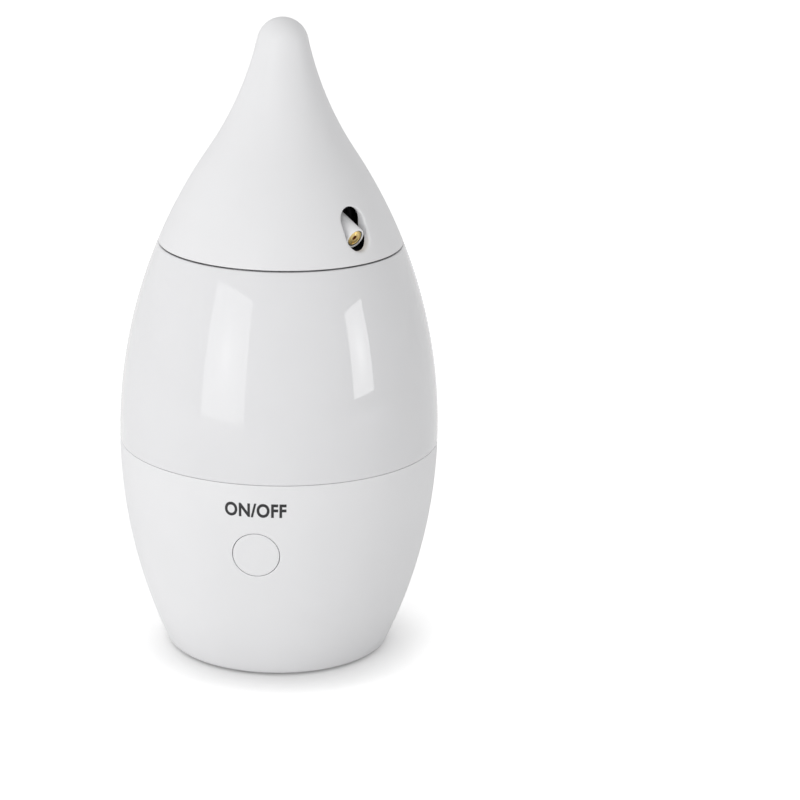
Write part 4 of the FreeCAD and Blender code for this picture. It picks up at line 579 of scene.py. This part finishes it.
def polished_plastic(name, tone, roughness=0.03):
    """Polished moulded plastic, whose slow waves bend the reflections a little."""
    finish = Finish(name).set(Specular_IOR_Level=0.36)
    finish.vary_colour(finish.noise(0.025, 2.0), tone, 0.005)
    finish.vary_roughness(finish.noise(0.004, 3.0), 0.7 * roughness, 1.4 * roughness)
    return finish.bump(finish.noise(0.014, 1.0), 0.00003, 0.35)


def dark_plastic(name, tone, roughness=0.5):
    finish = Finish(name)
    finish.vary_colour(finish.noise(0.004, 3.0), tone, 0.25)
    finish.vary_roughness(finish.noise(0.002, 2.0), roughness - 0.06, roughness + 0.1)
    return finish.bump(finish.noise(0.0003, 2.0), 0.000012, 0.6)


def soft_rubber(name, tone):
    finish = Finish(name).set(Specular_IOR_Level=0.3)
    finish.vary_colour(finish.noise(0.003, 4.0), tone, 0.3)
    finish.vary_roughness(finish.noise(0.001, 2.0), 0.72, 0.88)
    return finish.bump(finish.noise(0.00035, 3.0), 0.00003, 0.7)


def machined_metal(name, tone, roughness=0.28, stretch=(1.0, 1.0, 14.0), grain=0.0012):
    """Metal with fine tool marks."""
    finish = Finish(name).set(Metallic=1.0)
    finish.vary_colour(finish.noise(0.003, 3.0), tone, 0.08)
    finish.vary_roughness(finish.noise(grain, 3.0, stretch), roughness - 0.08, roughness + 0.1)
    return finish.bump(finish.noise(grain / 3, 2.0, stretch), 0.000008, 0.6)


def circuit_board(name):
    """Green solder mask, with paler copper runs beneath."""
    finish = Finish(name).set(Roughness=0.32)
    greens = {
        "Color1": (0.012, 0.11, 0.045, 1.0),
        "Color2": (0.016, 0.135, 0.055, 1.0),
        "Mortar": (0.03, 0.21, 0.09, 1.0),
    }
    runs = finish.add("TexBrick", {"Vector": finish.place, "Scale": 220.0, "Mortar Size": 0.03, **greens})
    finish.drive("Base Color", runs.outputs["Color"])
    return finish.bump(finish.noise(0.0004, 2.0), 0.00001, 0.5)


def wrapped_cell(name):
    """Dark printed wrap of a battery cell, with a gold band at its upper end and a bare steel foot."""
    finish = Finish(name).set(Metallic=0.35, Roughness=0.3)
    height = finish.add("SeparateXYZ", {"Vector": finish.place}).outputs["Z"]
    ends = {"From Min": lowest("battery_cells").z, "From Max": highest("battery_cells").z}
    along = finish.add("MapRange", {"Value": height, **ends}).outputs["Result"]
    wrap, gold, steel = (0.05, 0.07, 0.10), (0.60, 0.42, 0.10), (0.5, 0.5, 0.5)
    bands = [(0.03, steel), (0.04, wrap), (0.70, wrap), (0.71, gold)]
    finish.drive("Base Color", finish.ramp(along, bands))
    return finish.bump(finish.noise(0.002, 2.0), 0.00001, 0.4)


def ruby_lens(name, glow):
    """Dark red lens with a faint glow."""
    finish = Finish(name).set(Roughness=0.08, Specular_IOR_Level=0.6)
    finish.vary_colour(finish.noise(0.0008, 2.0), (0.12, 0.004, 0.003), 0.3)
    return finish.set(Emission_Color=glow, Emission_Strength=0.05)


def printed_ink(name, tone):
    finish = Finish(name)
    finish.vary_colour(finish.noise(0.0015, 3.0), tone, 0.15)
    finish.vary_roughness(finish.noise(0.0006, 2.0), 0.4, 0.55)
    return finish.bump(finish.noise(0.00025, 2.0), 0.000004, 0.5)


class TOY_OT_finishes(bpy.types.Operator):
    """Make every finish, and give each construction piece the one of its slot"""

    bl_idname = "toy.finishes"
    bl_label = "Finishes"

    def execute(self, context):
        tones = context.scene.toy_colours
        steel = (0.60, 0.60, 0.61)
        satin_plastic("satin_white_shell", tones.satin_white)
        polished_plastic("gloss_white_shell", tones.gloss_white)
        satin_plastic("white_cover", tones.cover_white, 0.55, 0.0005, 0.00002)
        dark_plastic("black_inner_plastic", tones.inner_black)
        satin_plastic("white_barrel", tones.barrel_white, 0.33, 0.0002, 0.000003)
        polished_plastic("gear_plastic", (0.78, 0.74, 0.62), 0.3)
        dark_plastic("dark_inner_plastic", (0.02, 0.02, 0.022), 0.42)
        polished_plastic("washer_plastic", (0.86, 0.86, 0.84), 0.3)
        soft_rubber("foot_rubber", tones.foot_grey)
        machined_metal("bright_steel", steel)
        machined_metal("motor_steel", (0.50, 0.50, 0.51), 0.34, (14.0, 14.0, 1.0))
        machined_metal("contact_brass", tones.brass, 0.3)
        machined_metal("laser_brass", tones.laser_brass, 0.42, (3.0, 3.0, 3.0), 0.0006)
        wrapped_cell("cell_wrap")
        circuit_board("board_green")
        dark_plastic("chip_black", (0.015, 0.015, 0.016), 0.4)
        dark_plastic("sleeve_black", (0.010, 0.010, 0.010), 0.45)
        ruby_lens("lens_glass", tones.beam_red)
        printed_ink("mark_ink", tones.ink)
        for node, piece in frame["nodes"].items():
            piece.data.materials.clear()
            piece.data.materials.append(bpy.data.materials[SLOTS[node]])
        return {"FINISHED"}


# ---- shells ----
def head_turn():
    """Direction of laser 1 from the head's axis."""
    spot = JOINTS["laser_1_tilt"]["pos_m"]
    return math.atan2(spot[1], spot[0])


class TOY_OT_head_cover(bpy.types.Operator):
    """Turn the head, with its two laser windows and its screw posts"""

    bl_idname = "toy.head_cover"
    bl_label = "Head"

    def execute(self, context):
        sizes = context.scene.toy_sizes
        outline = Outline(sizes)
        wall, low, soft = sizes.head_wall, sizes.head_bottom, sizes.edge_round
        heights = levels(low + soft, outline.throat(), sizes.row_step)[:-1]
        outer = outline.low_edge(low, soft) + outline.rows(heights[1:]) + outline.tip_rows()
        inner = [(outline.radius(low, wall), low)]
        inner += outline.rows([height for height in heights if height < outline.throat(wall)], wall)
        inner += outline.tip_rows(wall)
        windows = [
            Opening(
                turn=head_turn() + side,
                low=sizes.window_low,
                high=sizes.window_high,
                half_width=sizes.window_width / 2,
                soft=sizes.window_round,
                margin=2.6 * MM,
                collar_end=sizes.window_depth,
                collar_wall=0.5 * MM,
                bare_under=sizes.window_low + 0.8 * (sizes.window_width / 2),
            )
            for side in (0.0, math.pi)
        ]
        mesh = bmesh.new()
        ends = pierced_shell(mesh, outline, wall, outer, inner, sizes.columns, head_turn(), windows)
        close_ring(mesh, ends[0], (0, 0, sizes.total_height))
        close_ring(mesh, ends[1], (0, 0, sizes.total_height - wall))
        foot, tall = highest("turntable").z - 3.0 * MM, 10.2 * MM
        spots = on_ring(31.5 * MM, head_turn() + DIAGONAL)
        add_posts(mesh, spots, foot, foot + tall, outer=3.2 * MM, bore=sizes.screw_shank)
        add_piece("head_cover", mesh, "head", "head_shell")
        return {"FINISHED"}


class TOY_OT_upper_cover(bpy.types.Operator):
    """Turn the glossy upper half of the body, with its roof and its screw posts"""

    bl_idname = "toy.upper_cover"
    bl_label = "Upper body"

    def execute(self, context):
        sizes = context.scene.toy_sizes
        outline = Outline(sizes)
        wall, low, top = sizes.body_wall, sizes.body_seam, sizes.body_top
        soft, edge = sizes.seam_round, sizes.edge_round
        roof = top - sizes.roof_thickness
        groove_out = outline.radius(top) - sizes.groove_lip
        groove_in = groove_out - sizes.groove_width
        groove_floor = top - sizes.groove_depth
        profile = outline.low_edge(low, soft)
        profile += outline.rows(levels(low + soft, top - edge, sizes.row_step)[1:-1])
        profile += outline.high_edge(top, edge)
        profile += [(groove_out, top), (groove_out, groove_floor)]
        profile += [(groove_in, groove_floor), (groove_in, top)]
        profile += [(sizes.roof_radius, top), (sizes.roof_radius, roof)]
        profile += outline.rows(levels(low, roof, sizes.row_step), wall)[::-1]
        mesh = bmesh.new()
        lathe_loop(mesh, profile, sizes.columns)
        lugs = on_ring(sizes.tongue_radius - LUG_INSET, DIAGONAL)
        lug_foot, lug_height = sizes.tongue_top + 0.05 * MM, 14.0 * MM
        add_posts(mesh, lugs, lug_foot, lug_foot + lug_height, outer=5.0 * MM, bore=sizes.screw_shank)
        deck_top, bite = highest("motor_deck").z - 1.6 * MM, 0.5 * MM
        posts = on_ring(36.5 * MM, DIAGONAL)
        add_posts(mesh, posts, deck_top, roof + bite, outer=3.5 * MM, bore=sizes.screw_shank)
        add_piece("upper_cover", mesh, "base", "upper_shell")
        return {"FINISHED"}


class TOY_OT_lower_cover(bpy.types.Operator):
    """Turn the satin lower half of the body, with the button's hole, its tongue, ledge and posts"""

    bl_idname = "toy.lower_cover"
    bl_label = "Lower body"

    def execute(self, context):
        sizes = context.scene.toy_sizes
        outline = Outline(sizes)
        wall, low, rim = sizes.body_wall, sizes.rim_height, sizes.rim_round
        top, soft = sizes.body_seam - sizes.seam_gap, sizes.seam_round
        ledge_top = sizes.cover_top + sizes.ledge_thickness
        seat = outline.radius(low) - wall
        tongue_in = sizes.tongue_radius - sizes.tongue_wall
        root = top - (sizes.tongue_top - top)
        heights = levels(low + rim, top - soft, sizes.row_step)
        outer = outline.low_edge(low, rim) + outline.rows(heights[1:-1]) + outline.high_edge(top, soft)
        outer += [(sizes.tongue_radius, top), (sizes.tongue_radius, sizes.tongue_top)]
        outer += [(tongue_in, sizes.tongue_top), (tongue_in, root)]
        inner = [(seat, low), (seat, sizes.cover_top)]
        inner += [(sizes.ledge_radius, sizes.cover_top), (sizes.ledge_radius, ledge_top)]
        inner_heights = [height for height in heights if ledge_top < height < root - sizes.tongue_wall]
        inner += outline.rows([ledge_top, *inner_heights], wall)
        bore = sizes.button_radius + sizes.button_gap
        hole = Opening(
            turn=FRONT,
            low=sizes.button_height - bore,
            high=sizes.button_height + bore,
            half_width=bore,
            soft=sizes.button_round,
            margin=3.4 * MM,
            collar_end=sizes.guide_end,
            collar_wall=2.2 * MM,
        )
        mesh = bmesh.new()
        ends = pierced_shell(mesh, outline, wall, outer, inner, sizes.columns, FRONT, [hole])
        join_rings(mesh, *ends)
        spots = on_ring(highest("base_screws").x - sizes.screw_head)
        post_foot, post_top = sizes.cover_top + 0.1 * MM, 16.0 * MM
        add_posts(mesh, spots, post_foot, post_top, outer=3.5 * MM, bore=sizes.screw_shank)
        lugs = on_ring(sizes.tongue_radius - LUG_INSET, DIAGONAL)
        lug_foot, lug_top = sizes.tongue_top - 8.0 * MM, sizes.tongue_top - 0.01 * MM
        add_posts(mesh, lugs, lug_foot, lug_top, outer=4.5 * MM, bore=1.6 * MM)
        add_piece("lower_cover", mesh, "base", "lower_shell")
        return {"FINISHED"}


class TOY_OT_power_cap(bpy.types.Operator):
    """Shape the power button, whose face follows the body"""

    bl_idname = "toy.power_cap"
    bl_label = "Power button"

    def execute(self, context):
        sizes = context.scene.toy_sizes
        outline = Outline(sizes)
        facing = Facing(FRONT)
        mesh = bmesh.new()

        def ring(radius, reach_of):
            flats = [Vector((x, sizes.button_height + y)) for x, y in on_ring(radius, count=96)]
            return [mesh.verts.new(facing.spot(flat, reach_of(flat))) for flat in flats]

        def below_wall(depth):
            return lambda flat: facing.on_wall(flat, outline.radius) - depth

        soft, outer = sizes.button_round, sizes.button_radius
        face = [(outer * part, 0.0) for part in (0.15, 0.3, 0.45, 0.6, 0.75, 0.88)]
        face += bend((outer - soft, 0.0), (outer, 0.0), (outer, soft))
        rings = [ring(radius, below_wall(depth)) for radius, depth in face]
        flange_front = sizes.guide_end - 0.05 * MM
        flange_back = flange_front - 1.2 * MM
        hollow_end, stem_end = flange_back + 4.4 * MM, sizes.guide_end - 4.55 * MM
        flange, hollow, stem = 9.3 * MM, outer - 1.6 * MM, 2.6 * MM
        behind = [(outer, flange_front), (flange, flange_front), (flange, flange_back)]
        behind += [(hollow, flange_back), (hollow, hollow_end), (stem, hollow_end), (stem, stem_end)]
        rings += [ring(radius, lambda flat, reach=reach: reach) for radius, reach in behind]
        for first, second in zip(rings, rings[1:]):
            join_rings(mesh, first, second)
        middle = Vector((0, sizes.button_height))
        close_ring(mesh, rings[0], facing.spot(middle, outline.radius(middle.y)))
        close_ring(mesh, rings[-1], facing.spot(middle, stem_end))
        add_piece("power_cap", mesh, "power_button", "power_button")
        return {"FINISHED"}


# ---- lasers ----
class Laser:
    """One laser: its body, and the frame whose Z runs out of its mouth and whose X points down."""

    def __init__(self, number, sizes):
        self.name = f"laser_{number}"
        self.sizes = sizes
        self.mouth = sizes.barrel_reach
        self.floor = sizes.barrel_reach - sizes.module_length
        pivot = Vector(JOINTS[f"laser_{number}_tilt"]["pos_m"])
        turn = math.atan2(pivot.y, pivot.x)
        tilt = sizes.first_tilt if number == 1 else sizes.second_tilt
        forward = Matrix.Rotation(tilt + math.pi / 2, 4, "Y")
        self.place = Matrix.Translation(pivot) @ Matrix.Rotation(turn, 4, "Z") @ forward

    def make(self, label, mesh, node):
        add_piece(f"{self.name}_{label}", mesh, self.name, f"{self.name}_{node}")

    def add_barrel(self):
        """Tapered barrel with a soft mouth, bored for the laser, and a toothed sector behind."""
        mesh = bmesh.new()
        front, back, tail = self.sizes.barrel_front, self.sizes.barrel_back, -self.sizes.barrel_tail
        bore, soft, edge, mouth = 3.02 * MM, 0.3 * MM, 0.05 * MM, self.mouth
        profile = [(0, tail), (back - soft, tail), (back, soft + tail), (back, 0)]
        profile.append(((front + back) / 2, mouth / 2))
        profile += bend((front + 0.01 * MM, mouth - soft), (front, mouth), (front - 0.8 * soft, mouth))
        profile += [(bore + edge, mouth), (bore, mouth - edge), (bore, self.floor), (0, self.floor)]
        lathe(mesh, profile, 96, self.place)
        self.add_sector(mesh)
        self.make("barrel", mesh, "holder")

    def add_sector(self, mesh):
        """Five teeth of a gear round the pivot, whose middle tooth is level at the laser's middle tilt."""
        teeth, kept, half_thickness = 44, 5, 1.5 * MM
        pitch = 2 * math.pi / teeth
        middle = math.pi + math.radians(13)
        flank = [(16.5 * MM, -0.33), (17.2 * MM, -0.27), (17.6 * MM, -0.23), (18.3 * MM, -0.12)]
        tooth = flank + [(reach, -side) for reach, side in flank[::-1]]
        outline = [(0.0, 0.0), (self.sizes.barrel_back, middle - pitch * (kept - 1) / 2)]
        for number in range(kept):
            turn = middle + pitch * (number - (kept - 1) / 2)
            outline += [(reach, turn + side * pitch) for reach, side in tooth]
        outline.append((self.sizes.barrel_back, middle + pitch * (kept - 1) / 2))
        sides = []
        for across in (-half_thickness, half_thickness):
            spots = [(-reach * math.sin(turn), across, reach * math.cos(turn)) for reach, turn in outline]
            sides.append([mesh.verts.new(self.place @ Vector(spot)) for spot in spots])
        join_rings(mesh, *sides)
        for side in sides:
            mesh.faces.new(side)

    def add_tube(self):
        """Thin black sleeve round the brass module."""
        mesh = bmesh.new()
        face, outer, inner, soft = self.mouth - 0.25 * MM, 3.0 * MM, 2.65 * MM, 0.08 * MM
        profile = [(outer, self.floor), (outer, face - soft), (outer - soft, face)]
        profile += [(inner + soft, face), (inner, face - soft), (inner, self.floor)]
        lathe_loop(mesh, profile, 72, self.place)
        self.make("tube", mesh, "sleeve")

    def add_module(self):
        """Brass tube, closed behind, with a turned edge in front."""
        mesh = bmesh.new()
        face, outer, inner = self.mouth - 0.3 * MM, 2.64 * MM, 2.3 * MM
        soft, edge, seat = 0.1 * MM, 0.06 * MM, face - 3.5 * MM
        profile = [(0, self.floor), (outer, self.floor)]
        profile += bend((outer, face - soft), (outer, face), (outer - soft, face), 3)
        profile += [(inner + edge, face), (inner, face - edge), (inner, seat), (0, seat)]
        lathe(mesh, profile, 72, self.place)
        self.make("brass", mesh, "module")

    def add_nut(self):
        """Lens nut with a small hole, hollow behind it, and two slots for the key that turns it."""
        mesh = bmesh.new()
        face, back = self.mouth - 0.35 * MM, self.mouth - 2.8 * MM
        outer, hole, hollow = 2.28 * MM, 0.85 * MM, 1.7 * MM
        soft, edge, slot, slot_depth, slot_start = 0.12 * MM, 0.08 * MM, 0.5 * MM, 0.45 * MM, 1.5 * MM
        profile = [(outer, back), (outer, face - soft), (outer - soft, face)]
        profile += [(hole + edge, face), (hole, face - edge), (hole, face - 0.3 * MM)]
        profile += [(hollow, face - 0.6 * MM), (hollow, back)]
        rings = turned_rings(mesh, profile, 72)
        for ring in rings[1:4]:
            for vertex in ring:
                if abs(vertex.co.y) < slot / 2 and abs(vertex.co.x) > slot_start:
                    vertex.co.z -= slot_depth
        for first, second in zip(rings, rings[1:] + rings[:1]):
            join_rings(mesh, first, second)
        bmesh.ops.transform(mesh, matrix=self.place, verts=mesh.verts)
        self.make("nut", mesh, "lens_nut")

    def add_lens(self):
        """Lens with a domed front."""
        mesh = bmesh.new()
        back, radius, rim, rise = self.mouth - 3.8 * MM, 2.28 * MM, 0.6 * MM, 0.35 * MM
        turns = [math.radians(15 * step) for step in range(6)]
        dome = [(radius * math.cos(turn), back + rim + rise * math.sin(turn)) for turn in turns]
        lathe(mesh, [(0, back), (radius, back), *dome, (0, back + rim + rise)], 48, self.place)
        self.make("glass", mesh, "lens")


class TOY_OT_lasers(bpy.types.Operator):
    """Shape both lasers: barrel, sleeve, brass module, lens nut and lens"""

    bl_idname = "toy.lasers"
    bl_label = "Lasers"

    def execute(self, context):
        for number in (1, 2):
            laser = Laser(number, context.scene.toy_sizes)
            laser.add_barrel()
            laser.add_tube()
            laser.add_module()
            laser.add_nut()
            laser.add_lens()
        return {"FINISHED"}


# ---- underside ----
class TOY_OT_feet(bpy.types.Operator):
    """Mould the four rubber feet, with a soft edge and a ring groove in the tread"""

    bl_idname = "toy.feet"
    bl_label = "Feet"

    def execute(self, context):
        outer, top = context.scene.toy_sizes.foot_radius, highest("rubber_feet").z
        ring = math.hypot(highest("rubber_feet").x - outer, highest("rubber_feet").y - outer)
        soft, edge = 0.4 * MM, 0.1 * MM
        tread = [(0, 0.15), (1.2, 0.12), (1.5, 0), (2.1, 0), (2.25, 0.3), (2.55, 0.3), (2.7, 0)]
        profile = [(radius * MM, height * MM) for radius, height in tread]
        profile += bend((outer - soft, 0), (outer, 0), (outer, soft))
        profile += [(outer, top - edge), (outer - edge, top), (0, top)]
        mesh = bmesh.new()
        for x, y in on_ring(ring, DIAGONAL):
            lathe(mesh, profile, 56, Matrix.Translation((x, y, 0)))
        add_piece("foot_pads", mesh, "base", "rubber_feet")
        return {"FINISHED"}


def cross_reach(turn, arm, half):
    """Distance from the middle to a cross-shaped outline in a direction."""
    side = turn % (math.pi / 2)
    side = min(side, math.pi / 2 - side)
    return arm / math.cos(side) if math.tan(side) < half / arm else half / math.sin(side)


def pan_screw(mesh, sizes, x, y, low, high):
    """Pan-head screw that points up: domed head with a cross recess, threaded shank."""
    head, tall, shank, root = sizes.screw_head, sizes.screw_head_height, sizes.screw_shank, 0.78
    arm, half, depth, pitch = 0.55 * head, 0.32 * MM, 0.9 * MM, 1.0 * MM
    place = Matrix.Translation((x, y, 0))
    corner = math.atan2(half, arm)
    quarter = [0, corner, corner * 1.6, math.radians(30), DIAGONAL]
    quarter += [math.pi / 2 - turn for turn in quarter[-2:0:-1]]
    turns = [part * math.pi / 2 + turn for part in range(4) for turn in quarter]

    def ring(height, reach_of):
        spots = [Vector((math.cos(turn), math.sin(turn), 0)) * reach_of(turn) for turn in turns]
        return [mesh.verts.new(place @ (spot + Vector((0, 0, height)))) for spot in spots]

    def round_ring(height, radius):
        return ring(height, lambda turn: radius)

    rings = [ring(low + depth, lambda turn: cross_reach(turn, arm * 0.55, half * 0.6))]
    rings.append(ring(low + 0.04 * MM, lambda turn: cross_reach(turn, arm, half)))
    rings.append(ring(low, lambda turn: cross_reach(turn, arm, half) + 0.06 * MM))
    rings.append(round_ring(low + 0.02 * MM, 0.66 * head))
    for part in (0.80, 0.92, 0.985):
        rings.append(round_ring(low + 0.5 * tall * (1 - math.sqrt(1 - part**6)), part * head))
    rings += [round_ring(low + 0.55 * tall, head), round_ring(low + tall, head)]
    rings.append(round_ring(low + tall, root * shank))
    for number in range(int((high - low - tall) / pitch) - 1):
        height = low + tall + pitch * (number + 0.4)
        rings += [round_ring(height, root * shank), round_ring(height + pitch * 0.3, shank)]
    rings.append(round_ring(high - pitch, root * shank))
    for first, second in zip(rings, rings[1:]):
        join_rings(mesh, first, second)
    mesh.faces.new(rings[0])
    close_ring(mesh, rings[-1], place @ Vector((0, 0, high)))


class TOY_OT_screws(bpy.types.Operator):
    """Shape the screws that show underneath"""

    bl_idname = "toy.screws"
    bl_label = "Screws"

    def execute(self, context):
        sizes = context.scene.toy_sizes
        door = (lowest("door_screw") + highest("door_screw")) / 2
        around = on_ring(highest("base_screws").x - sizes.screw_head)
        for node, body, places in (
            ("base_screws", "base", around),
            ("door_screw", "battery_door", [(door.x, door.y)]),
        ):
            mesh = bmesh.new()
            for x, y in places:
                pan_screw(mesh, sizes, x, y, lowest(node).z, highest(node).z)
            add_piece(f"{node}_detail", mesh, body, node)
        return {"FINISHED"}


# ---- printed mark ----
class TOY_OT_mark(bpy.types.Operator):
    """Print the words above the button, wrapped onto the body"""

    bl_idname = "toy.mark"
    bl_label = "Printed mark"

    def execute(self, context):
        sizes = context.scene.toy_sizes
        outline = Outline(sizes)
        words = bpy.data.curves.new("mark_words", "FONT")
        words.body = sizes.mark_text
        words.align_x = "CENTER"
        words.align_y = "CENTER"
        words.space_character = 1.08
        words.resolution_u = 6
        words.extrude = 0.01
        words.offset = 0.033
        writer = bpy.data.objects.new("mark_words", words)
        context.scene.collection.objects.link(writer)
        context.view_layer.update()
        flat = bpy.data.meshes.new_from_object(writer.evaluated_get(context.evaluated_depsgraph_get()))
        bpy.data.objects.remove(writer)
        mesh = bmesh.new()
        mesh.from_mesh(flat)
        bmesh.ops.remove_doubles(mesh, verts=mesh.verts, dist=1e-5)
        sides = [vertex.co.x for vertex in mesh.verts]
        scale = sizes.mark_width / (max(sides) - min(sides))
        middle = (max(sides) + min(sides)) / 2
        longest, ink_face, ink_back = 0.6 * MM, 0.03 * MM, -0.1 * MM
        bmesh.ops.triangulate(mesh, faces=mesh.faces)
        for _ in range(3):
            long_edges = [edge for edge in mesh.edges if edge.calc_length() * scale > longest]
            bmesh.ops.subdivide_edges(mesh, edges=long_edges, cuts=1)
            bmesh.ops.triangulate(mesh, faces=mesh.faces)
        for vertex in mesh.verts:
            height = sizes.mark_height + vertex.co.y * scale * sizes.mark_stretch
            radius = outline.radius(height) + (ink_face if vertex.co.z > 0 else ink_back)
            turn = (vertex.co.x - middle) * scale / outline.radius(sizes.mark_height) + FRONT
            vertex.co = (radius * math.cos(turn), radius * math.sin(turn), height)
        finish_mesh("printed_mark", mesh, "base", "mark_ink")
        return {"FINISHED"}


# ---- studio ----
def seen_rays(tree, mirrored=1.0):
    """1 for rays that see the pale background straight or through glass, and a share for mirrored ones."""
    path = add_node(tree, "LightPath", {})
    total = path.outputs["Is Camera Ray"]
    for name, part in (("Is Glossy Ray", mirrored), ("Is Transmission Ray", 1.0)):
        inputs = {0: path.outputs[name], 1: part, 2: total}
        total = add_node(tree, "Math", inputs, operation="MULTIPLY_ADD", use_clamp=True).outputs[0]
    return total


class TOY_OT_studio(bpy.types.Operator):
    """Set the floor, the sky, two softboxes and the camera"""

    bl_idname = "toy.studio"
    bl_label = "Studio"

    def execute(self, context):
        studio = context.scene.toy_studio
        self.add_floor(studio)
        self.add_sky(context, studio)
        for label in ("left", "right"):
            self.add_softbox(context, studio, label)
        self.add_camera(context, studio)
        context.scene.view_settings.view_transform = "Standard"
        return {"FINISHED"}

    def add_floor(self, studio):
        """White paper under the toy, with a painted soft shadow close round its base: an occlusion node darkens
        the paper's colour and its glow there.
        """
        data = bpy.data.meshes.new("floor")
        mesh = bmesh.new()
        bmesh.ops.create_grid(mesh, x_segments=8, y_segments=8, size=6.0)
        mesh.to_mesh(data)
        mesh.free()
        floor = bpy.data.objects.new("floor", data)
        bpy.context.scene.collection.objects.link(floor)
        finish = Finish("floor_paper")
        finish.set(Roughness=1.0, Specular_IOR_Level=0.0, Emission_Color=WHITE[:3])
        lean = {"Y": math.sin(studio.contact_lean), "Z": math.cos(studio.contact_lean)}
        normal = finish.add("CombineXYZ", lean).outputs["Vector"]
        shadow = {"Normal": normal, "Distance": studio.contact_reach}
        # Painted shadow: near the toy the occlusion darkens the paper's colour and lowers its glow, on top of what
        # the lamps cast.
        light = finish.add("AmbientOcclusion", shadow).outputs["AO"]
        tones = {"To Min": studio.contact_shade * studio.floor_white, "To Max": studio.floor_white}
        paper = finish.add("MapRange", {"Value": light, **tones})
        finish.drive("Base Color", paper.outputs["Result"])
        kept = finish.add("MapRange", {"Value": light, "To Max": studio.floor_glow})
        seen = seen_rays(finish.tree, studio.mirrored_glow)
        glow = finish.add("Math", {0: seen, 1: kept.outputs["Result"]}, operation="MULTIPLY")
        finish.drive("Emission Strength", glow.outputs[0])
        data.materials.append(finish.material)

    def add_sky(self, context, studio):
        """Soft light that comes from the upper left, and plain white where the camera sees the sky."""
        sky = bpy.data.worlds.new("studio_sky")
        sky.use_nodes = True
        tree = sky.node_tree
        soft, source = tree.nodes["Background"], Vector((-1.0, -0.6, 0.45)).normalized()
        around = add_node(tree, "TexCoord", {}).outputs["Generated"]
        facing = add_node(tree, "VectorMath", {0: around, 1: source}, operation="DOT_PRODUCT")
        tones = {"From Min": -1.0, "To Min": studio.sky_low, "To Max": studio.sky_high}
        fall = add_node(tree, "MapRange", {"Value": facing.outputs["Value"], **tones})
        soft.inputs["Color"].default_value = WHITE
        tree.links.new(fall.outputs["Result"], soft.inputs["Strength"])
        white = add_node(tree, "Background", {"Color": WHITE, "Strength": 1.0})
        shaders = {1: soft.outputs["Background"], 2: white.outputs["Background"]}
        choice = add_node(tree, "MixShader", {"Fac": seen_rays(tree), **shaders})
        tree.links.new(choice.outputs["Shader"], tree.nodes["World Output"].inputs["Surface"])
        context.scene.world = sky

    def add_softbox(self, context, studio, label):
        """Rectangular lamp that stands round the toy and faces it."""
        side = getattr(studio, f"{label}_side")
        rise = getattr(studio, f"{label}_rise")
        data = bpy.data.lights.new(f"{label}_softbox", "AREA")
        data.shape = "RECTANGLE"
        data.size = getattr(studio, f"{label}_width")
        data.size_y = getattr(studio, f"{label}_height")
        data.energy = getattr(studio, f"{label}_power")
        self.brighten_middle(data, studio)
        lamp = bpy.data.objects.new(data.name, data)
        away = Vector((math.sin(side) * math.cos(rise), -math.cos(side) * math.cos(rise), math.sin(rise)))
        lamp.location = Vector((0, 0, studio.box_aim)) + away * studio.box_distance
        lamp.rotation_euler = away.to_track_quat("Z", "Y").to_euler()
        context.scene.collection.objects.link(lamp)

    def brighten_middle(self, data, studio):
        """The lamp's cloth glows more in the middle, in front of the bulb."""
        data.use_nodes = True
        tree = data.node_tree
        cloth = add_node(tree, "NewGeometry", {}).outputs["Parametric"]
        centred = {"Vector": cloth, "Location": (-1.25, -1.0, 0.0), "Scale": (2.5, 2.0, 0.0)}
        spread = add_node(tree, "Mapping", centred).outputs["Vector"]
        bulb = add_node(tree, "TexGradient", {"Vector": spread}, gradient_type="QUADRATIC_SPHERE")
        glow = {"Value": bulb.outputs["Fac"], "To Min": studio.box_edge, "To Max": studio.box_middle}
        level = add_node(tree, "MapRange", glow).outputs["Result"]
        tree.links.new(level, tree.nodes["Emission"].inputs["Strength"])

    def add_camera(self, context, studio):
        data = bpy.data.cameras.new("camera")
        data.sensor_width = 36.0
        data.lens = studio.camera_lens
        data.clip_start = 0.05
        camera = bpy.data.objects.new("camera", data)
        stand = Matrix.Rotation(studio.camera_side, 4, "Z")
        stand @= Matrix.Translation((0, -studio.camera_distance, studio.camera_height))
        aim = Matrix.Rotation(-studio.camera_yaw, 4, "Z")
        aim @= Matrix.Rotation(math.pi / 2 - studio.camera_pitch, 4, "X")
        camera.matrix_world = stand @ aim @ Matrix.Rotation(studio.camera_roll, 4, "Z")
        context.scene.collection.objects.link(camera)
        context.scene.camera = camera


# ---- add-on ----
STEPS = (
    TOY_OT_finishes,
    TOY_OT_head_cover,
    TOY_OT_upper_cover,
    TOY_OT_lower_cover,
    TOY_OT_power_cap,
    TOY_OT_lasers,
    TOY_OT_feet,
    TOY_OT_screws,
    TOY_OT_mark,
    TOY_OT_studio,
)
SETTINGS = {"toy_sizes": ToySizes, "toy_colours": ToyColours, "toy_studio": StudioSettings}


class TOY_PT_panel(bpy.types.Panel):
    """Steps that build the laser toy"""

    bl_idname = "TOY_PT_panel"
    bl_label = "Laser Toy"
    bl_space_type = "VIEW_3D"
    bl_region_type = "UI"
    bl_category = "Laser Toy"

    def draw(self, context):
        for step in STEPS:
            self.layout.operator(step.bl_idname)


def register():
    for made in (*SETTINGS.values(), *STEPS, TOY_PT_panel):
        bpy.utils.register_class(made)
    for name, group in SETTINGS.items():
        setattr(bpy.types.Scene, name, PointerProperty(type=group))


def unregister():
    for name in SETTINGS:
        delattr(bpy.types.Scene, name)
    for made in reversed((*SETTINGS.values(), *STEPS, TOY_PT_panel)):
        bpy.utils.unregister_class(made)


def main():
    register()
    for step in STEPS:
        group, name = step.bl_idname.split(".")
        getattr(getattr(bpy.ops, group), name)()


if __name__ == "__main__":
    main()
